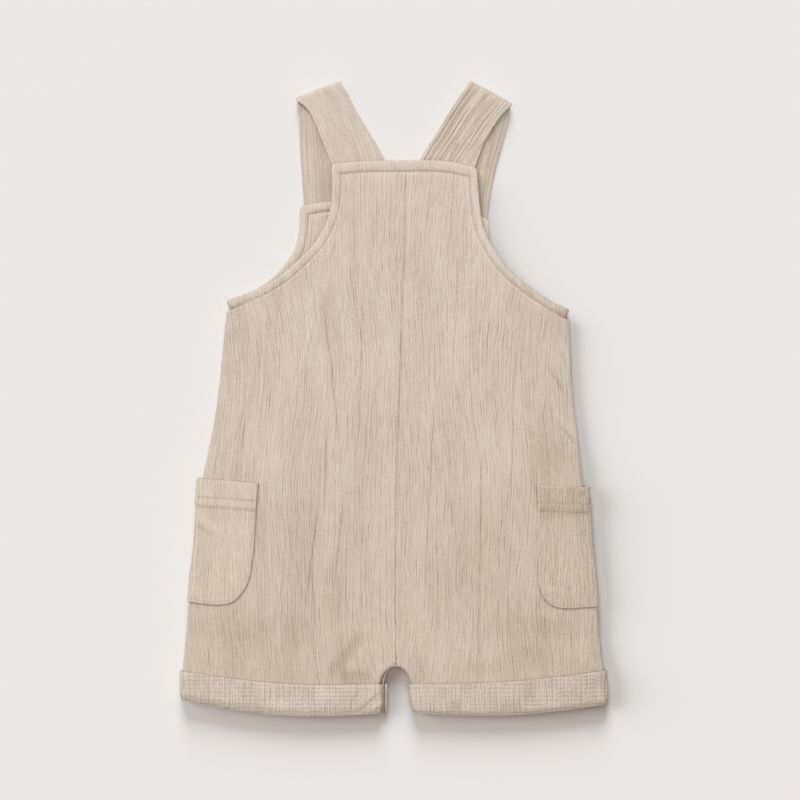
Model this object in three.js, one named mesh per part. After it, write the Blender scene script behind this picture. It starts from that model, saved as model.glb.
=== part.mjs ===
// A baby's short dungarees in crinkled cotton, laid flat with the back uppermost.
// Millimetres, +Z up, +Y from the leg hems towards the shoulder straps. z = 0 is the surface they lie on.
// Each sewn piece is a closed wall of cloth, made from a skin: the outer surface of the laid garment.
import * as THREE from "three";

// Driving dimensions
const CLOTH = 1.6; // one layer of crinkled cotton
const BAND_WIDTH = 7.2; // turned and topstitched edge of the bibs and armholes
const BAND_PUFF = 1; // how far that edge stands above the cloth beside it
const STRAP = 2; // doubled strap
const CUFF = 2.2; // doubled turn-up at each leg
const CUFF_DROP = 1; // how far the turn-up reaches below the leg's own edge
const POCKET = 1.4; // cloth of the patch pockets
const POCKET_HEM = 2.2; // turned hem at a pocket's mouth
const SEAM_GAP = 0.3; // between pieces at a seam
const LAY_GAP = 0.4; // between a piece and the panel it lies on
const SOFT_MARGIN = 10; // width over which the cloth climbs onto what lies beneath it

// The loose thickness of the garment, from the front's outer face to the back's
const THICKNESS = [
  { y: 0, height: 5.4 },
  { y: 36, height: 5.6 },
  { y: 80, height: 6 },
  { y: 180, height: 6.2 },
  { y: 310, height: 6 },
  { y: 345, height: 5.8 },
  { y: 383, height: 5.6 },
  { y: 412, height: 5.2 },
];

// What lies between the front and the surface, and how high it lifts the cloth above it
const UNDERLAYS = [
  { name: "cuffs", west: -200, east: 200, south: -20, north: 36, lift: CUFF + LAY_GAP },
  { name: "left pocket", west: -200, east: -93, south: 79, north: 179, lift: POCKET + LAY_GAP },
  { name: "left pocket hem", west: -200, east: -93, south: 158, north: 179, lift: POCKET_HEM + LAY_GAP },
  { name: "right pocket", west: 92, east: 200, south: 79, north: 179, lift: POCKET + LAY_GAP },
  { name: "right pocket hem", west: 92, east: 200, south: 158, north: 179, lift: POCKET_HEM + LAY_GAP },
  { name: "left strap", west: -75, east: -28, south: 347, north: 480, lift: STRAP + LAY_GAP },
  { name: "right strap", west: 29, east: 76, south: 345, north: 480, lift: STRAP + LAY_GAP },
];

// Soft folds of the uppermost cloth: the middle of each, its size, and by how many degrees its top leans left
const FOLDS = [
  { x: -66, y: 270, lean: -16, length: 130, width: 9, height: 0.6 },
  { x: -47, y: 255, lean: 6, length: 160, width: 8, height: -0.6 },
  { x: -72, y: 140, lean: 2, length: 200, width: 9, height: 0.5 },
  { x: -58, y: 130, lean: 1, length: 230, width: 10, height: -0.7 },
  { x: -26, y: 225, lean: 0, length: 170, width: 7, height: -0.5 },
  { x: 27, y: 210, lean: -4, length: 190, width: 8, height: -0.6 },
  { x: 39, y: 215, lean: -4, length: 180, width: 8, height: 0.5 },
  { x: 63, y: 125, lean: 0, length: 210, width: 9, height: -0.7 },
  { x: 76, y: 130, lean: -2, length: 190, width: 9, height: 0.5 },
  { x: 108, y: 250, lean: 3, length: 110, width: 9, height: 0.6 },
  { x: -35, y: 50, lean: -38, length: 70, width: 9, height: -0.7 },
  { x: 28, y: 52, lean: 12, length: 80, width: 8, height: 0.7 },
  { x: -127, y: 50, lean: 0, length: 50, width: 12, height: 0.5 },
];

// Outlines of the laid garment, each from its lower end upwards
const CENTRE_SEAM = [
  { x: 0.5, y: 38 },
  { x: 0, y: 87.5 },
  { x: 0.5, y: 146.5 },
  { x: 2.5, y: 213 },
  { x: 5.5, y: 309.5 },
  { x: 7, y: 350 },
  { x: 8, y: 412 },
];
const INSEAM = {
  left: [
    { x: -11.5, y: 5 },
    { x: -11.5, y: 15 },
    { x: -11, y: 25.5 },
    { x: -9, y: 31.5 },
    { x: -5, y: 36.2 },
    { x: 0.5, y: 38 },
  ],
  right: [
    { x: 15.5, y: 5 },
    { x: 13.5, y: 14 },
    { x: 12, y: 24.5 },
    { x: 10, y: 31.5 },
    { x: 6, y: 36.2 },
    { x: 0.5, y: 38 },
  ],
};
const SIDE_SEAM = {
  left: [
    { x: -157, y: 14.5 },
    { x: -157, y: 35 },
    { x: -155, y: 57.5 },
    { x: -152.5, y: 84.5 },
    { x: -150.5, y: 106 },
    { x: -147, y: 130 },
    { x: -142, y: 177.5 },
    { x: -135.5, y: 211 },
    { x: -130, y: 246.5 },
    { x: -127.5, y: 276 },
    { x: -124.5, y: 300.8 },
  ],
  right: [
    { x: 156, y: 11.5 },
    { x: 154.5, y: 35 },
    { x: 152, y: 57.5 },
    { x: 150, y: 80.5 },
    { x: 148, y: 102 },
    { x: 142.5, y: 150 },
    { x: 139, y: 173 },
    { x: 135.5, y: 208.5 },
    { x: 131.5, y: 242.5 },
    { x: 130, y: 272.5 },
    { x: 129, y: 294.3 },
  ],
};

// Rows of cloth across a leg, by where each meets the inseam and the side seam. sag is its share of HEM_SAG.
const LEG_ROWS = [
  { inseam: 5, left: 14.5, right: 11.5, sag: 1 },
  { inseam: 12, left: 21.5, right: 19.5, sag: 0.9 },
  { inseam: 19, left: 28.5, right: 27.5, sag: 0.8 },
  { inseam: 25.5, left: 35, right: 35.5, sag: 0.68 },
  { inseam: 31.5, left: 39.5, right: 39.5, sag: 0.45 },
  { inseam: 36, left: 43, right: 43, sag: 0.2 },
  { inseam: 38, left: 46.5, right: 46.5, sag: 0 },
];
const CUFF_TOP_ROW = 3;
const HEM_SAG = { left: 6.3, right: 4.7 };

// Rows across the body, by where each meets the centre seam and the side seam
const BODY_ROWS = [
  { seam: 53, left: 57, right: 57 },
  { seam: 68, left: 69, right: 69 },
  { seam: 79, left: 79, right: 79 },
  { seam: 92, left: 92, right: 92 },
  { seam: 112, left: 112, right: 112 },
  { seam: 135, left: 135, right: 135 },
  { seam: 158, left: 158, right: 158 },
  { seam: 179, left: 179, right: 179 },
  { seam: 190, left: 190, right: 190 },
  { seam: 212, left: 212, right: 212 },
  { seam: 236, left: 236, right: 236 },
  { seam: 262, left: 260, right: 260 },
  { seam: 286, left: 282, right: 280 },
  { seam: 309.5, left: 300.8, right: 294.3 },
];

// The finished edges, each from the left side seam over the bib to the right side seam
const BACK_EDGE = {
  leftArmhole: [
    { x: -124.5, y: 309 },
    { x: -103, y: 317 },
    { x: -86, y: 326.5 },
    { x: -71.5, y: 339 },
    { x: -58, y: 353.5 },
    { x: -50.5, y: 368 },
    { x: -47, y: 383 },
    { x: -47.2, y: 410 },
  ],
  top: [
    { x: -47.2, y: 410 },
    { x: -28.5, y: 411.8 },
    { x: 6, y: 412.6 },
    { x: 37.5, y: 412 },
    { x: 60.5, y: 407.5 },
  ],
  rightArmhole: [
    { x: 60.5, y: 407.5 },
    { x: 63, y: 376.5 },
    { x: 66, y: 361.5 },
    { x: 78, y: 339.5 },
    { x: 88, y: 328.5 },
    { x: 100, y: 319 },
    { x: 117, y: 307.5 },
    { x: 129, y: 302.5 },
  ],
};
const FRONT_EDGE = {
  leftArmhole: [
    { x: -124.5, y: 309 },
    { x: -114, y: 312.8 },
    { x: -99.5, y: 319.5 },
    { x: -86, y: 330.5 },
    { x: -76, y: 344 },
    { x: -71.5, y: 357.5 },
    { x: -70.5, y: 379 },
  ],
  top: [
    { x: -70.5, y: 379 },
    { x: -47.5, y: 382.5 },
    { x: 0, y: 383.5 },
    { x: 44.5, y: 377.5 },
    { x: 69.5, y: 369.8 },
  ],
  rightArmhole: [
    { x: 69.5, y: 369.8 },
    { x: 69.5, y: 356 },
    { x: 74.5, y: 342 },
    { x: 83, y: 331 },
    { x: 96, y: 319.5 },
    { x: 113, y: 308 },
    { x: 129, y: 302.5 },
  ],
};

// A pocket wraps its side seam. reach is how far each of its levels goes from the fold onto the back, and the
// same onto the front; flare is how far it stands off the fold; rise is how far its inner end lies above.
const POCKETS = {
  left: [
    { y: 85.8, reach: 20, flare: 0, rise: -2.2 },
    { y: 87.5, reach: 31, flare: 0, rise: -2 },
    { y: 93, reach: 38, flare: 0, rise: -1 },
    { y: 103, reach: 43, flare: 0, rise: 0 },
    { y: 118, reach: 43.5, flare: 0.2, rise: 0 },
    { y: 140, reach: 42.5, flare: 0.8, rise: -1 },
    { y: 164.5, reach: 41.5, flare: 1.8, rise: -2.5 },
    { y: 177.5, reach: 41, flare: 2.4, rise: -3 },
  ],
  right: [
    { y: 82.5, reach: 25, flare: 0, rise: -1.5 },
    { y: 84.5, reach: 34, flare: 0, rise: -1 },
    { y: 90.5, reach: 40, flare: 0, rise: 0 },
    { y: 100, reach: 42, flare: 0, rise: 0.5 },
    { y: 118, reach: 41, flare: 0.2, rise: 0.8 },
    { y: 138, reach: 39, flare: 0.7, rise: 1 },
    { y: 158.5, reach: 36, flare: 1.6, rise: 1.2 },
    { y: 171.5, reach: 34.5, flare: 2.4, rise: 1.5 },
  ],
};
const POCKET_SHARES = [1, 0.94, 0.75, 0.5, 0.25]; // columns of a pocket, from its inner edge to the fold
const FLARE_REACH = 22; // how far from the fold a pocket's loose mouth has settled again

// Each strap's two long edges: over runs from inside the back bib to the shoulder fold, under from the fold
// to outside the front bib. Heights are of the strap's middle.
const STRAPS = {
  left: {
    over: [
      { westX: -44.5, westY: 399.5, westZ: 4.2, eastX: -1, eastY: 399.5, eastZ: 1.3 },
      { westX: -47.2, westY: 410, westZ: 4.2, eastX: -6, eastY: 410.5, eastZ: 1.5 },
      { westX: -50.5, westY: 419, westZ: 4.2, eastX: -12, eastY: 422, eastZ: 2 },
      { westX: -54.5, westY: 428.5, westZ: 4.2, eastX: -18, eastY: 432, eastZ: 2.6 },
      { westX: -59, westY: 439.5, westZ: 4.4, eastX: -24, eastY: 442, eastZ: 3.2 },
      { westX: -63.5, westY: 448.5, westZ: 4.9, eastX: -30.5, eastY: 453, eastZ: 4.2 },
      { westX: -68, westY: 453.6, westZ: 5.3, eastX: -35.5, eastY: 463, eastZ: 5.1 },
      { westX: -72.6, westY: 456.4, westZ: 5.4, eastX: -39.6, eastY: 469, eastZ: 5.4 },
    ],
    under: [
      { westX: -72.6, westY: 456.4, westZ: 1, eastX: -39.6, eastY: 469, eastZ: 1 },
      { westX: -71.5, westY: 447.5, westZ: 1, eastX: -38.5, eastY: 457.5, eastZ: 1 },
      { westX: -71, westY: 436, westZ: 1, eastX: -37, eastY: 442, eastZ: 1 },
      { westX: -70, westY: 415, westZ: 1, eastX: -35.5, eastY: 418, eastZ: 1 },
      { westX: -68.5, westY: 395, westZ: 1, eastX: -35, eastY: 397, eastZ: 1 },
      { westX: -67.5, westY: 378, westZ: 1, eastX: -34, eastY: 379, eastZ: 1 },
      { westX: -66, westY: 353.5, westZ: 1, eastX: -33, eastY: 355, eastZ: 1 },
    ],
  },
  right: {
    over: [
      { westX: 11.5, westY: 399.5, westZ: 1.6, eastX: 52, eastY: 398.5, eastZ: 4.4 },
      { westX: 17, westY: 410.5, westZ: 1.8, eastX: 58.5, eastY: 407, eastZ: 4.4 },
      { westX: 23.5, westY: 422, westZ: 2.5, eastX: 62.5, eastY: 417, eastZ: 4.3 },
      { westX: 30.5, westY: 432.5, westZ: 2.9, eastX: 66, eastY: 426, eastZ: 4.2 },
      { westX: 36.5, westY: 442.5, westZ: 3.2, eastX: 71, eastY: 434.5, eastZ: 4.4 },
      { westX: 42.5, westY: 452, westZ: 4.2, eastX: 76, eastY: 442.5, eastZ: 4.9 },
      { westX: 48.5, westY: 461, westZ: 5.1, eastX: 80.5, eastY: 448, eastZ: 5.3 },
      { westX: 54.5, westY: 469.4, westZ: 5.4, eastX: 85.5, eastY: 452.4, eastZ: 5.4 },
    ],
    under: [
      { westX: 54.5, westY: 469.4, westZ: 1, eastX: 85.5, eastY: 452.4, eastZ: 1 },
      { westX: 52, westY: 457.5, westZ: 1, eastX: 84, eastY: 441, eastZ: 1 },
      { westX: 47.5, westY: 441, westZ: 1, eastX: 80, eastY: 426, eastZ: 1 },
      { westX: 42, westY: 424, westZ: 1, eastX: 75.5, eastY: 410, eastZ: 1 },
      { westX: 38, westY: 407, westZ: 1, eastX: 72, eastY: 395, eastZ: 1 },
      { westX: 34.5, westY: 385, westZ: 1, eastX: 69, eastY: 376, eastZ: 1 },
      { westX: 33.5, westY: 352, westZ: 1, eastX: 66.5, eastY: 351.5, eastZ: 1 },
    ],
  },
};

// How finely each kind of piece is divided
// Columns of a half panel, from its inner edge to its side
const PANEL_SHARES = [0.89, 0.77, 0.65, 0.53, 0.41, 0.33, 0.22, 0.11];
const FOLD_STEPS = 3;
const ARMHOLE_STEPS = 11;
const TOP_STEPS = 10;
const BAND_COLUMNS = [
  { across: 0, puff: 0.1 },
  { across: 0.2, puff: 0.85 },
  { across: 0.75, puff: 1 },
  { across: 1, puff: 0.3 },
];
const STRAP_STEPS = 13;
const STRAP_FOLD_STEPS = 6;
const STRAP_COLUMNS = 6;
const CORNER_ROUND = 3.2;

const UP = new THREE.Vector3(0, 0, 1);
const { lerp, smoothstep } = THREE.MathUtils;

// The value of a column of a table at a place between its rows
function tableValue(rows, key, column, at) {
  const last = rows.length - 1;
  if (at <= rows[0][key]) return rows[0][column];
  if (at >= rows[last][key]) return rows[last][column];
  const next = rows.findIndex((row) => row[key] >= at);
  const a = rows[next - 1];
  const b = rows[next];
  return lerp(a[column], b[column], (at - a[key]) / (b[key] - a[key]));
}

function curveThrough(rows) {
  const points = rows.map((row) => new THREE.Vector3(row.x, row.y, 0));
  return new THREE.CatmullRomCurve3(points, false, "centripetal");
}

// Where a rising curve reaches a height, and its direction there
function curveAtY(curve, y) {
  let low = 0;
  let high = 1;
  for (let i = 0; i < 30; i++) {
    const middle = (low + high) / 2;
    if (curve.getPoint(middle).y < y) low = middle;
    else high = middle;
  }
  return { point: curve.getPoint(low), tangent: curve.getTangent(low) };
}

// Unit vector square to a curve in plan, to its right as it runs
function rightOf(tangent) {
  return new THREE.Vector3(tangent.y, -tangent.x, 0).normalize();
}

function underlay(x, y) {
  let lift = 0;
  for (const pad of UNDERLAYS) {
    const outX = Math.max(pad.west - x, x - pad.east, 0);
    const outY = Math.max(pad.south - y, y - pad.north, 0);
    const climb = 1 - smoothstep(Math.hypot(outX, outY), 0, SOFT_MARGIN);
    lift = Math.max(lift, pad.lift * climb);
  }
  return lift;
}

function softFolds(x, y) {
  let height = 0;
  for (const fold of FOLDS) {
    const lean = THREE.MathUtils.degToRad(fold.lean);
    const dx = x - fold.x;
    const dy = y - fold.y;
    const across = dx * Math.cos(lean) + dy * Math.sin(lean);
    const along = dy * Math.cos(lean) - dx * Math.sin(lean);
    const fade = 1 - smoothstep(Math.abs(along), fold.length * 0.25, fold.length * 0.5);
    height += fold.height * fade * Math.exp(-((across / fold.width) ** 2));
  }
  return height;
}

const facing = (layer) => (layer === "back" ? 1 : -1);
const outward = (side) => (side === "left" ? -1 : 1);

// Height of the garment's outer face: the front's, which lies lowermost, or the back's
function faceHeight(layer, x, y) {
  if (layer === "front") return underlay(x, y);
  return underlay(x, y) + tableValue(THICKNESS, "y", "height", y) + softFolds(x, y);
}

// The cloth turns from front to back at a side in a half round
function foldRadius(y) {
  return (tableValue(THICKNESS, "y", "height", y) - SEAM_GAP) / 2;
}

function foldReaches(radius) {
  const angles = Array.from({ length: FOLD_STEPS + 1 }, (_, i) => (i / FOLD_STEPS) * (Math.PI / 2));
  return angles.map((angle) => radius * (1 - Math.cos(angle)));
}

// A place on the skin: its plan position, its outward normal and how far a fold has turned it down
function flatPlace(point, layer) {
  return { point: point.clone(), normal: new THREE.Vector3(0, 0, facing(layer)), drop: 0 };
}

function foldPlace(corner, out, radius, reach, layer) {
  const cosine = 1 - reach / radius;
  const sine = Math.sqrt(1 - cosine * cosine);
  const normal = out.clone().multiplyScalar(cosine).addScaledVector(UP, facing(layer) * sine);
  return { point: corner.clone().addScaledVector(out, -reach), normal, drop: radius * (1 - sine) };
}

function settle(place, layer) {
  const { point } = place;
  point.z = faceHeight(layer, point.x, point.y) - facing(layer) * place.drop;
  return place;
}

// One finished edge as matching outer and inner points
function edgeRun(edge, width) {
  const left = curveThrough(edge.leftArmhole).getSpacedPoints(ARMHOLE_STEPS);
  const top = curveThrough(edge.top).getSpacedPoints(TOP_STEPS);
  const right = curveThrough(edge.rightArmhole).getSpacedPoints(ARMHOLE_STEPS);
  const outer = [...left, ...top.slice(1), ...right.slice(1)];
  const last = outer.length - 1;
  const inner = outer.map((point, i) => {
    const a = rightOf(outer[Math.max(i, 1)].clone().sub(outer[Math.max(i, 1) - 1]));
    const b = rightOf(outer[Math.min(i, last - 1) + 1].clone().sub(outer[Math.min(i, last - 1)]));
    return point.clone().addScaledVector(a.clone().add(b), width / (1 + a.dot(b)));
  });
  return { outer, inner };
}

const TOP_START = ARMHOLE_STEPS;
const TOP_END = ARMHOLE_STEPS + TOP_STEPS;
const EDGES = { back: edgeRun(BACK_EDGE, BAND_WIDTH), front: edgeRun(FRONT_EDGE, BAND_WIDTH) };
const PANEL_EDGES = {
  back: edgeRun(BACK_EDGE, BAND_WIDTH + SEAM_GAP).inner,
  front: edgeRun(FRONT_EDGE, BAND_WIDTH + SEAM_GAP).inner,
};

function legRow(side, row) {
  const inseam = curveAtY(curveThrough(INSEAM[side]), row.inseam);
  const seam = curveAtY(curveThrough(SIDE_SEAM[side]), row[side]);
  const atCrotch = row.sag === 0;
  return {
    inner: inseam.point,
    innerOut: atCrotch ? new THREE.Vector3(0, -1, 0) : rightOf(inseam.tangent).multiplyScalar(-outward(side)),
    outer: seam.point,
    outerOut: rightOf(seam.tangent).multiplyScalar(outward(side)),
    bend: (x, share) => -HEM_SAG[side] * row.sag * Math.sin(Math.PI * share),
    besideSeam: atCrotch,
  };
}

function bodyRow(side, row) {
  const seam = curveAtY(curveThrough(SIDE_SEAM[side]), row[side]);
  return {
    inner: curveAtY(curveThrough(CENTRE_SEAM), row.seam).point,
    outer: seam.point,
    outerOut: rightOf(seam.tangent).multiplyScalar(outward(side)),
    bend: () => 0,
    besideSeam: true,
  };
}

// Rows of the bib follow the crown of its top edge, less and less down to the armhole
function bibRows(layer, side) {
  const line = PANEL_EDGES[layer];
  const corner = side === "left" ? TOP_START : TOP_END;
  const armhole = side === "left" ? line.slice(1, corner + 1) : line.slice(corner, -1).reverse();
  const top = line.slice(TOP_START, TOP_END + 1);
  const seamFoot = BODY_ROWS[BODY_ROWS.length - 1].seam;
  const seamTop = tableValue(top, "x", "y", CENTRE_SEAM[CENTRE_SEAM.length - 1].x);
  return armhole.map((outer, i) => {
    const up = (i + 1) / armhole.length;
    const inner = curveAtY(curveThrough(CENTRE_SEAM), lerp(seamFoot, seamTop, up)).point;
    const crown = (x, share) => tableValue(top, "x", "y", x) - lerp(seamTop, line[corner].y, share);
    return { inner, outer, bend: (x, share) => crown(x, share) * up ** 4, besideSeam: true };
  });
}

// The places along one row of a half panel, from its inner edge to its side
function rowPlaces(layer, side, row) {
  const across = row.outer.clone().sub(row.inner).normalize();
  const innerRadius = foldRadius(row.inner.y);
  const outerRadius = foldRadius(row.outer.y);
  const innerEnd = foldReaches(innerRadius).map((reach) =>
    row.innerOut
      ? foldPlace(row.inner, row.innerOut, innerRadius, reach, layer)
      : flatPlace(row.inner.clone().addScaledVector(across, reach), layer),
  );
  const outerEnd = foldReaches(outerRadius).map((reach) =>
    row.outerOut
      ? foldPlace(row.outer, row.outerOut, outerRadius, reach, layer)
      : flatPlace(row.outer.clone().addScaledVector(across, -reach), layer),
  );
  const from = innerEnd[FOLD_STEPS].point;
  const to = outerEnd[FOLD_STEPS].point;
  const middle = PANEL_SHARES.map((share) => flatPlace(to.clone().lerp(from, share), layer));
  if (row.besideSeam) innerEnd.forEach((place) => (place.point.x += outward(side) * (SEAM_GAP / 2)));
  const places = [...innerEnd, ...middle, ...outerEnd.reverse()];
  for (const place of places) {
    const share = (place.point.x - row.inner.x) / (row.outer.x - row.inner.x);
    place.point.y += row.bend(place.point.x, share);
    settle(place, layer);
  }
  return places;
}

// A closed wall from an outer and an inner grid of points of the same shape
function closedWall(name, outer, inner, material) {
  const rows = outer.length;
  const columns = outer[0].length;
  const positions = [...outer.flat(), ...inner.flat()].flatMap((p) => [p.x, p.y, p.z]);
  const at = (face, row, column) => (face * rows + row) * columns + column;
  const index = [];
  const quad = (a, b, c, d) => index.push(a, b, c, a, c, d);
  for (let r = 0; r < rows - 1; r++) {
    for (let c = 0; c < columns - 1; c++) {
      quad(at(0, r, c), at(0, r, c + 1), at(0, r + 1, c + 1), at(0, r + 1, c));
      quad(at(1, r, c), at(1, r + 1, c), at(1, r + 1, c + 1), at(1, r, c + 1));
    }
    quad(at(0, r, 0), at(0, r + 1, 0), at(1, r + 1, 0), at(1, r, 0));
    quad(at(0, r, columns - 1), at(1, r, columns - 1), at(1, r + 1, columns - 1), at(0, r + 1, columns - 1));
  }
  for (let c = 0; c < columns - 1; c++) {
    quad(at(0, 0, c), at(1, 0, c), at(1, 0, c + 1), at(0, 0, c + 1));
    quad(at(0, rows - 1, c), at(0, rows - 1, c + 1), at(1, rows - 1, c + 1), at(1, rows - 1, c));
  }
  if (signedVolume(positions, index) < 0) index.reverse();
  const geometry = new THREE.BufferGeometry();
  geometry.setAttribute("position", new THREE.Float32BufferAttribute(positions, 3));
  geometry.setIndex(index);
  geometry.computeVertexNormals();
  const mesh = new THREE.Mesh(geometry, material);
  mesh.name = name;
  return mesh;
}

function signedVolume(positions, index) {
  const corner = (i) => new THREE.Vector3().fromArray(positions, index[i] * 3);
  let six = 0;
  for (let i = 0; i < index.length; i += 3) six += corner(i).dot(corner(i + 1).cross(corner(i + 2)));
  return six / 6;
}

// A wall that follows the skin: both faces are offset along its normals, by a length or by one worked out
// for each place
function skinWall(name, places, outerOffset, innerOffset, material) {
  const offsetBy = (offset) => (place) =>
    place.point.clone().addScaledVector(place.normal, typeof offset === "function" ? offset(place) : offset);
  const outer = places.map((row) => row.map(offsetBy(outerOffset)));
  const inner = places.map((row) => row.map(offsetBy(innerOffset)));
  return closedWall(name, outer, inner, material);
}

function makePanel(layer, side, material) {
  const rows = [
    ...LEG_ROWS.map((row) => legRow(side, row)),
    ...BODY_ROWS.map((row) => bodyRow(side, row)),
    ...bibRows(layer, side),
  ];
  const places = rows.map((row) => rowPlaces(layer, side, row));
  return skinWall(`${layer}_${side}`, places, 0, -CLOTH, material);
}

// A turned-up cuff lies outside the leg's lower edge, on the leg's own points moved out
function makeCuff(layer, side, material) {
  const places = LEG_ROWS.slice(0, CUFF_TOP_ROW + 1).map((row) => rowPlaces(layer, side, legRow(side, row)));
  places.forEach((row, i) => row.forEach((place) => (place.point.y -= CUFF_DROP * (1 - i / CUFF_TOP_ROW))));
  return skinWall(`cuff_${layer}_${side}`, places, LAY_GAP + CUFF, LAY_GAP, material);
}

function makePocket(side, material) {
  const rows = POCKETS[side];
  const hemFoot = rows[rows.length - 2].y;
  const places = rows.map((row) => {
    const seam = curveAtY(curveThrough(SIDE_SEAM[side]), row.y);
    const out = rightOf(seam.tangent).multiplyScalar(outward(side));
    const radius = foldRadius(row.y);
    const fold = foldReaches(radius);
    const half = (layer) => {
      const turned = fold.map((reach) => foldPlace(seam.point, out, radius, reach, layer));
      const base = turned[FOLD_STEPS].point;
      const flat = POCKET_SHARES.map((share) => {
        const place = flatPlace(base, layer);
        place.point.x -= outward(side) * share * (row.reach - radius);
        place.point.y += share * row.rise;
        return place;
      });
      return [...flat, ...turned.reverse()].map((place) => {
        const settled = 1 - smoothstep(Math.abs(place.point.x - seam.point.x), 0, FLARE_REACH);
        settle(place, layer);
        place.point.x += outward(side) * row.flare * settled;
        place.thickness = row.y >= hemFoot ? POCKET_HEM : POCKET;
        return place;
      });
    };
    return [...half("back"), ...half("front").reverse()];
  });
  return skinWall(`pocket_${side}`, places, (place) => LAY_GAP + place.thickness, LAY_GAP, material);
}

// Rows of a finished edge, with closer rows round the bib's corners and at both ends, where it turns down
// to the side seam
function bandRows(layer) {
  const { outer, inner } = EDGES[layer];
  const last = outer.length - 1;
  const part = (i, j, length) => {
    const share = length / outer[i].distanceTo(outer[j]);
    return { outer: outer[i].clone().lerp(outer[j], share), inner: inner[i].clone().lerp(inner[j], share) };
  };
  const end = (i, next) => {
    const radius = foldRadius(outer[i].y);
    const out = outer[i].clone().sub(outer[next]).normalize();
    return foldReaches(radius).map((reach) => ({ ...part(i, next, reach), fold: { radius, out, reach } }));
  };
  const corner = (i) => {
    const before = part(i, i - 1, CORNER_ROUND);
    const after = part(i, i + 1, CORNER_ROUND);
    const chord = before.outer.clone().lerp(after.outer, 0.5);
    before.inner.copy(inner[i]).lerp(inner[i - 1], 0.06);
    after.inner.copy(inner[i]).lerp(inner[i + 1], 0.06);
    return [before, { outer: chord.lerp(outer[i], 0.45), inner: inner[i] }, after];
  };
  return outer.flatMap((point, i) => {
    if (i === 0) return end(0, 1);
    if (i === last) return end(last, last - 1).reverse();
    if (i === TOP_START || i === TOP_END) return corner(i);
    return [{ outer: point, inner: inner[i] }];
  });
}

function makeBand(layer, material) {
  const places = bandRows(layer).map((row) =>
    BAND_COLUMNS.map(({ across, puff }) => {
      const point = row.outer.clone().lerp(row.inner, across);
      const place = flatPlace(point, layer);
      if (row.fold) {
        const turned = foldPlace(point, row.fold.out, row.fold.radius, row.fold.reach, layer);
        place.normal = turned.normal;
        place.drop = turned.drop;
      }
      place.puff = puff * BAND_PUFF;
      return settle(place, layer);
    }),
  );
  if (layer === "back") return skinWall("band_back", places, (place) => place.puff, -CLOTH, material);
  return skinWall("band_front", places, 0, (place) => -CLOTH - place.puff, material);
}

function strapEdges(rows) {
  const westPoints = rows.map((row) => new THREE.Vector3(row.westX, row.westY, row.westZ));
  const eastPoints = rows.map((row) => new THREE.Vector3(row.eastX, row.eastY, row.eastZ));
  const west = new THREE.CatmullRomCurve3(westPoints);
  const east = new THREE.CatmullRomCurve3(eastPoints);
  return Array.from({ length: STRAP_STEPS + 1 }, (_, i) => ({
    west: west.getPoint(i / STRAP_STEPS),
    east: east.getPoint(i / STRAP_STEPS),
  }));
}

function strapRows(side) {
  const over = strapEdges(STRAPS[side].over);
  const under = strapEdges(STRAPS[side].under);
  const top = over[STRAP_STEPS];
  const radius = (top.west.z - under[0].west.z) / 2;
  const away = rightOf(top.west.clone().sub(top.east));
  const turn = Array.from({ length: STRAP_FOLD_STEPS - 1 }, (_, i) => {
    const angle = (Math.PI * (i + 1)) / STRAP_FOLD_STEPS;
    const shift = away.clone().multiplyScalar(radius * Math.sin(angle));
    shift.z = -radius * (1 - Math.cos(angle));
    return { west: top.west.clone().add(shift), east: top.east.clone().add(shift) };
  });
  return [...over, ...turn, ...under];
}

function makeStrap(side, material) {
  const rows = strapRows(side);
  const middles = rows.map((row) => row.west.clone().lerp(row.east, 0.5));
  const places = rows.map((row, i) => {
    const along = middles[Math.min(i + 1, rows.length - 1)].clone().sub(middles[Math.max(i - 1, 0)]);
    const normal = row.east.clone().sub(row.west).cross(along).normalize();
    return Array.from({ length: STRAP_COLUMNS + 1 }, (_, c) => ({
      point: row.west.clone().lerp(row.east, c / STRAP_COLUMNS),
      normal,
    }));
  });
  return skinWall(`strap_${side}`, places, STRAP / 2, -STRAP / 2, material);
}

// One crinkled cotton throughout; the cuffs show its paler wrong side
const CLOTH_COLOUR = 0xd8c9b8;
const WRONG_SIDE_COLOUR = 0xdccfc0;
const fabric = (color) => new THREE.MeshStandardMaterial({ color, roughness: 0.95, metalness: 0 });

const dungarees = new THREE.Group();
for (const layer of ["back", "front"]) {
  for (const side of ["left", "right"]) {
    dungarees.add(makePanel(layer, side, fabric(CLOTH_COLOUR)));
    dungarees.add(makeCuff(layer, side, fabric(WRONG_SIDE_COLOUR)));
  }
  dungarees.add(makeBand(layer, fabric(CLOTH_COLOUR)));
}
for (const side of ["left", "right"]) {
  dungarees.add(makePocket(side, fabric(CLOTH_COLOUR)));
  dungarees.add(makeStrap(side, fabric(CLOTH_COLOUR)));
}

// The origin is the middle of the garment's footprint, on the surface it lies on
const box = new THREE.Box3().setFromObject(dungarees);
dungarees.position.set(-(box.min.x + box.max.x) / 2, -(box.min.y + box.max.y) / 2, -box.min.z);

export default dungarees;
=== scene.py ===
# A baby's short dungarees in crinkled cotton, laid flat with the back uppermost.
# Sewn pieces are worked out in the garment's own millimetres, as its solids are: +X to the photo's right,
# +Y from the leg hems to the shoulder straps, z = 0 on the surface. to_row() turns them into metres.
import math

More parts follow.
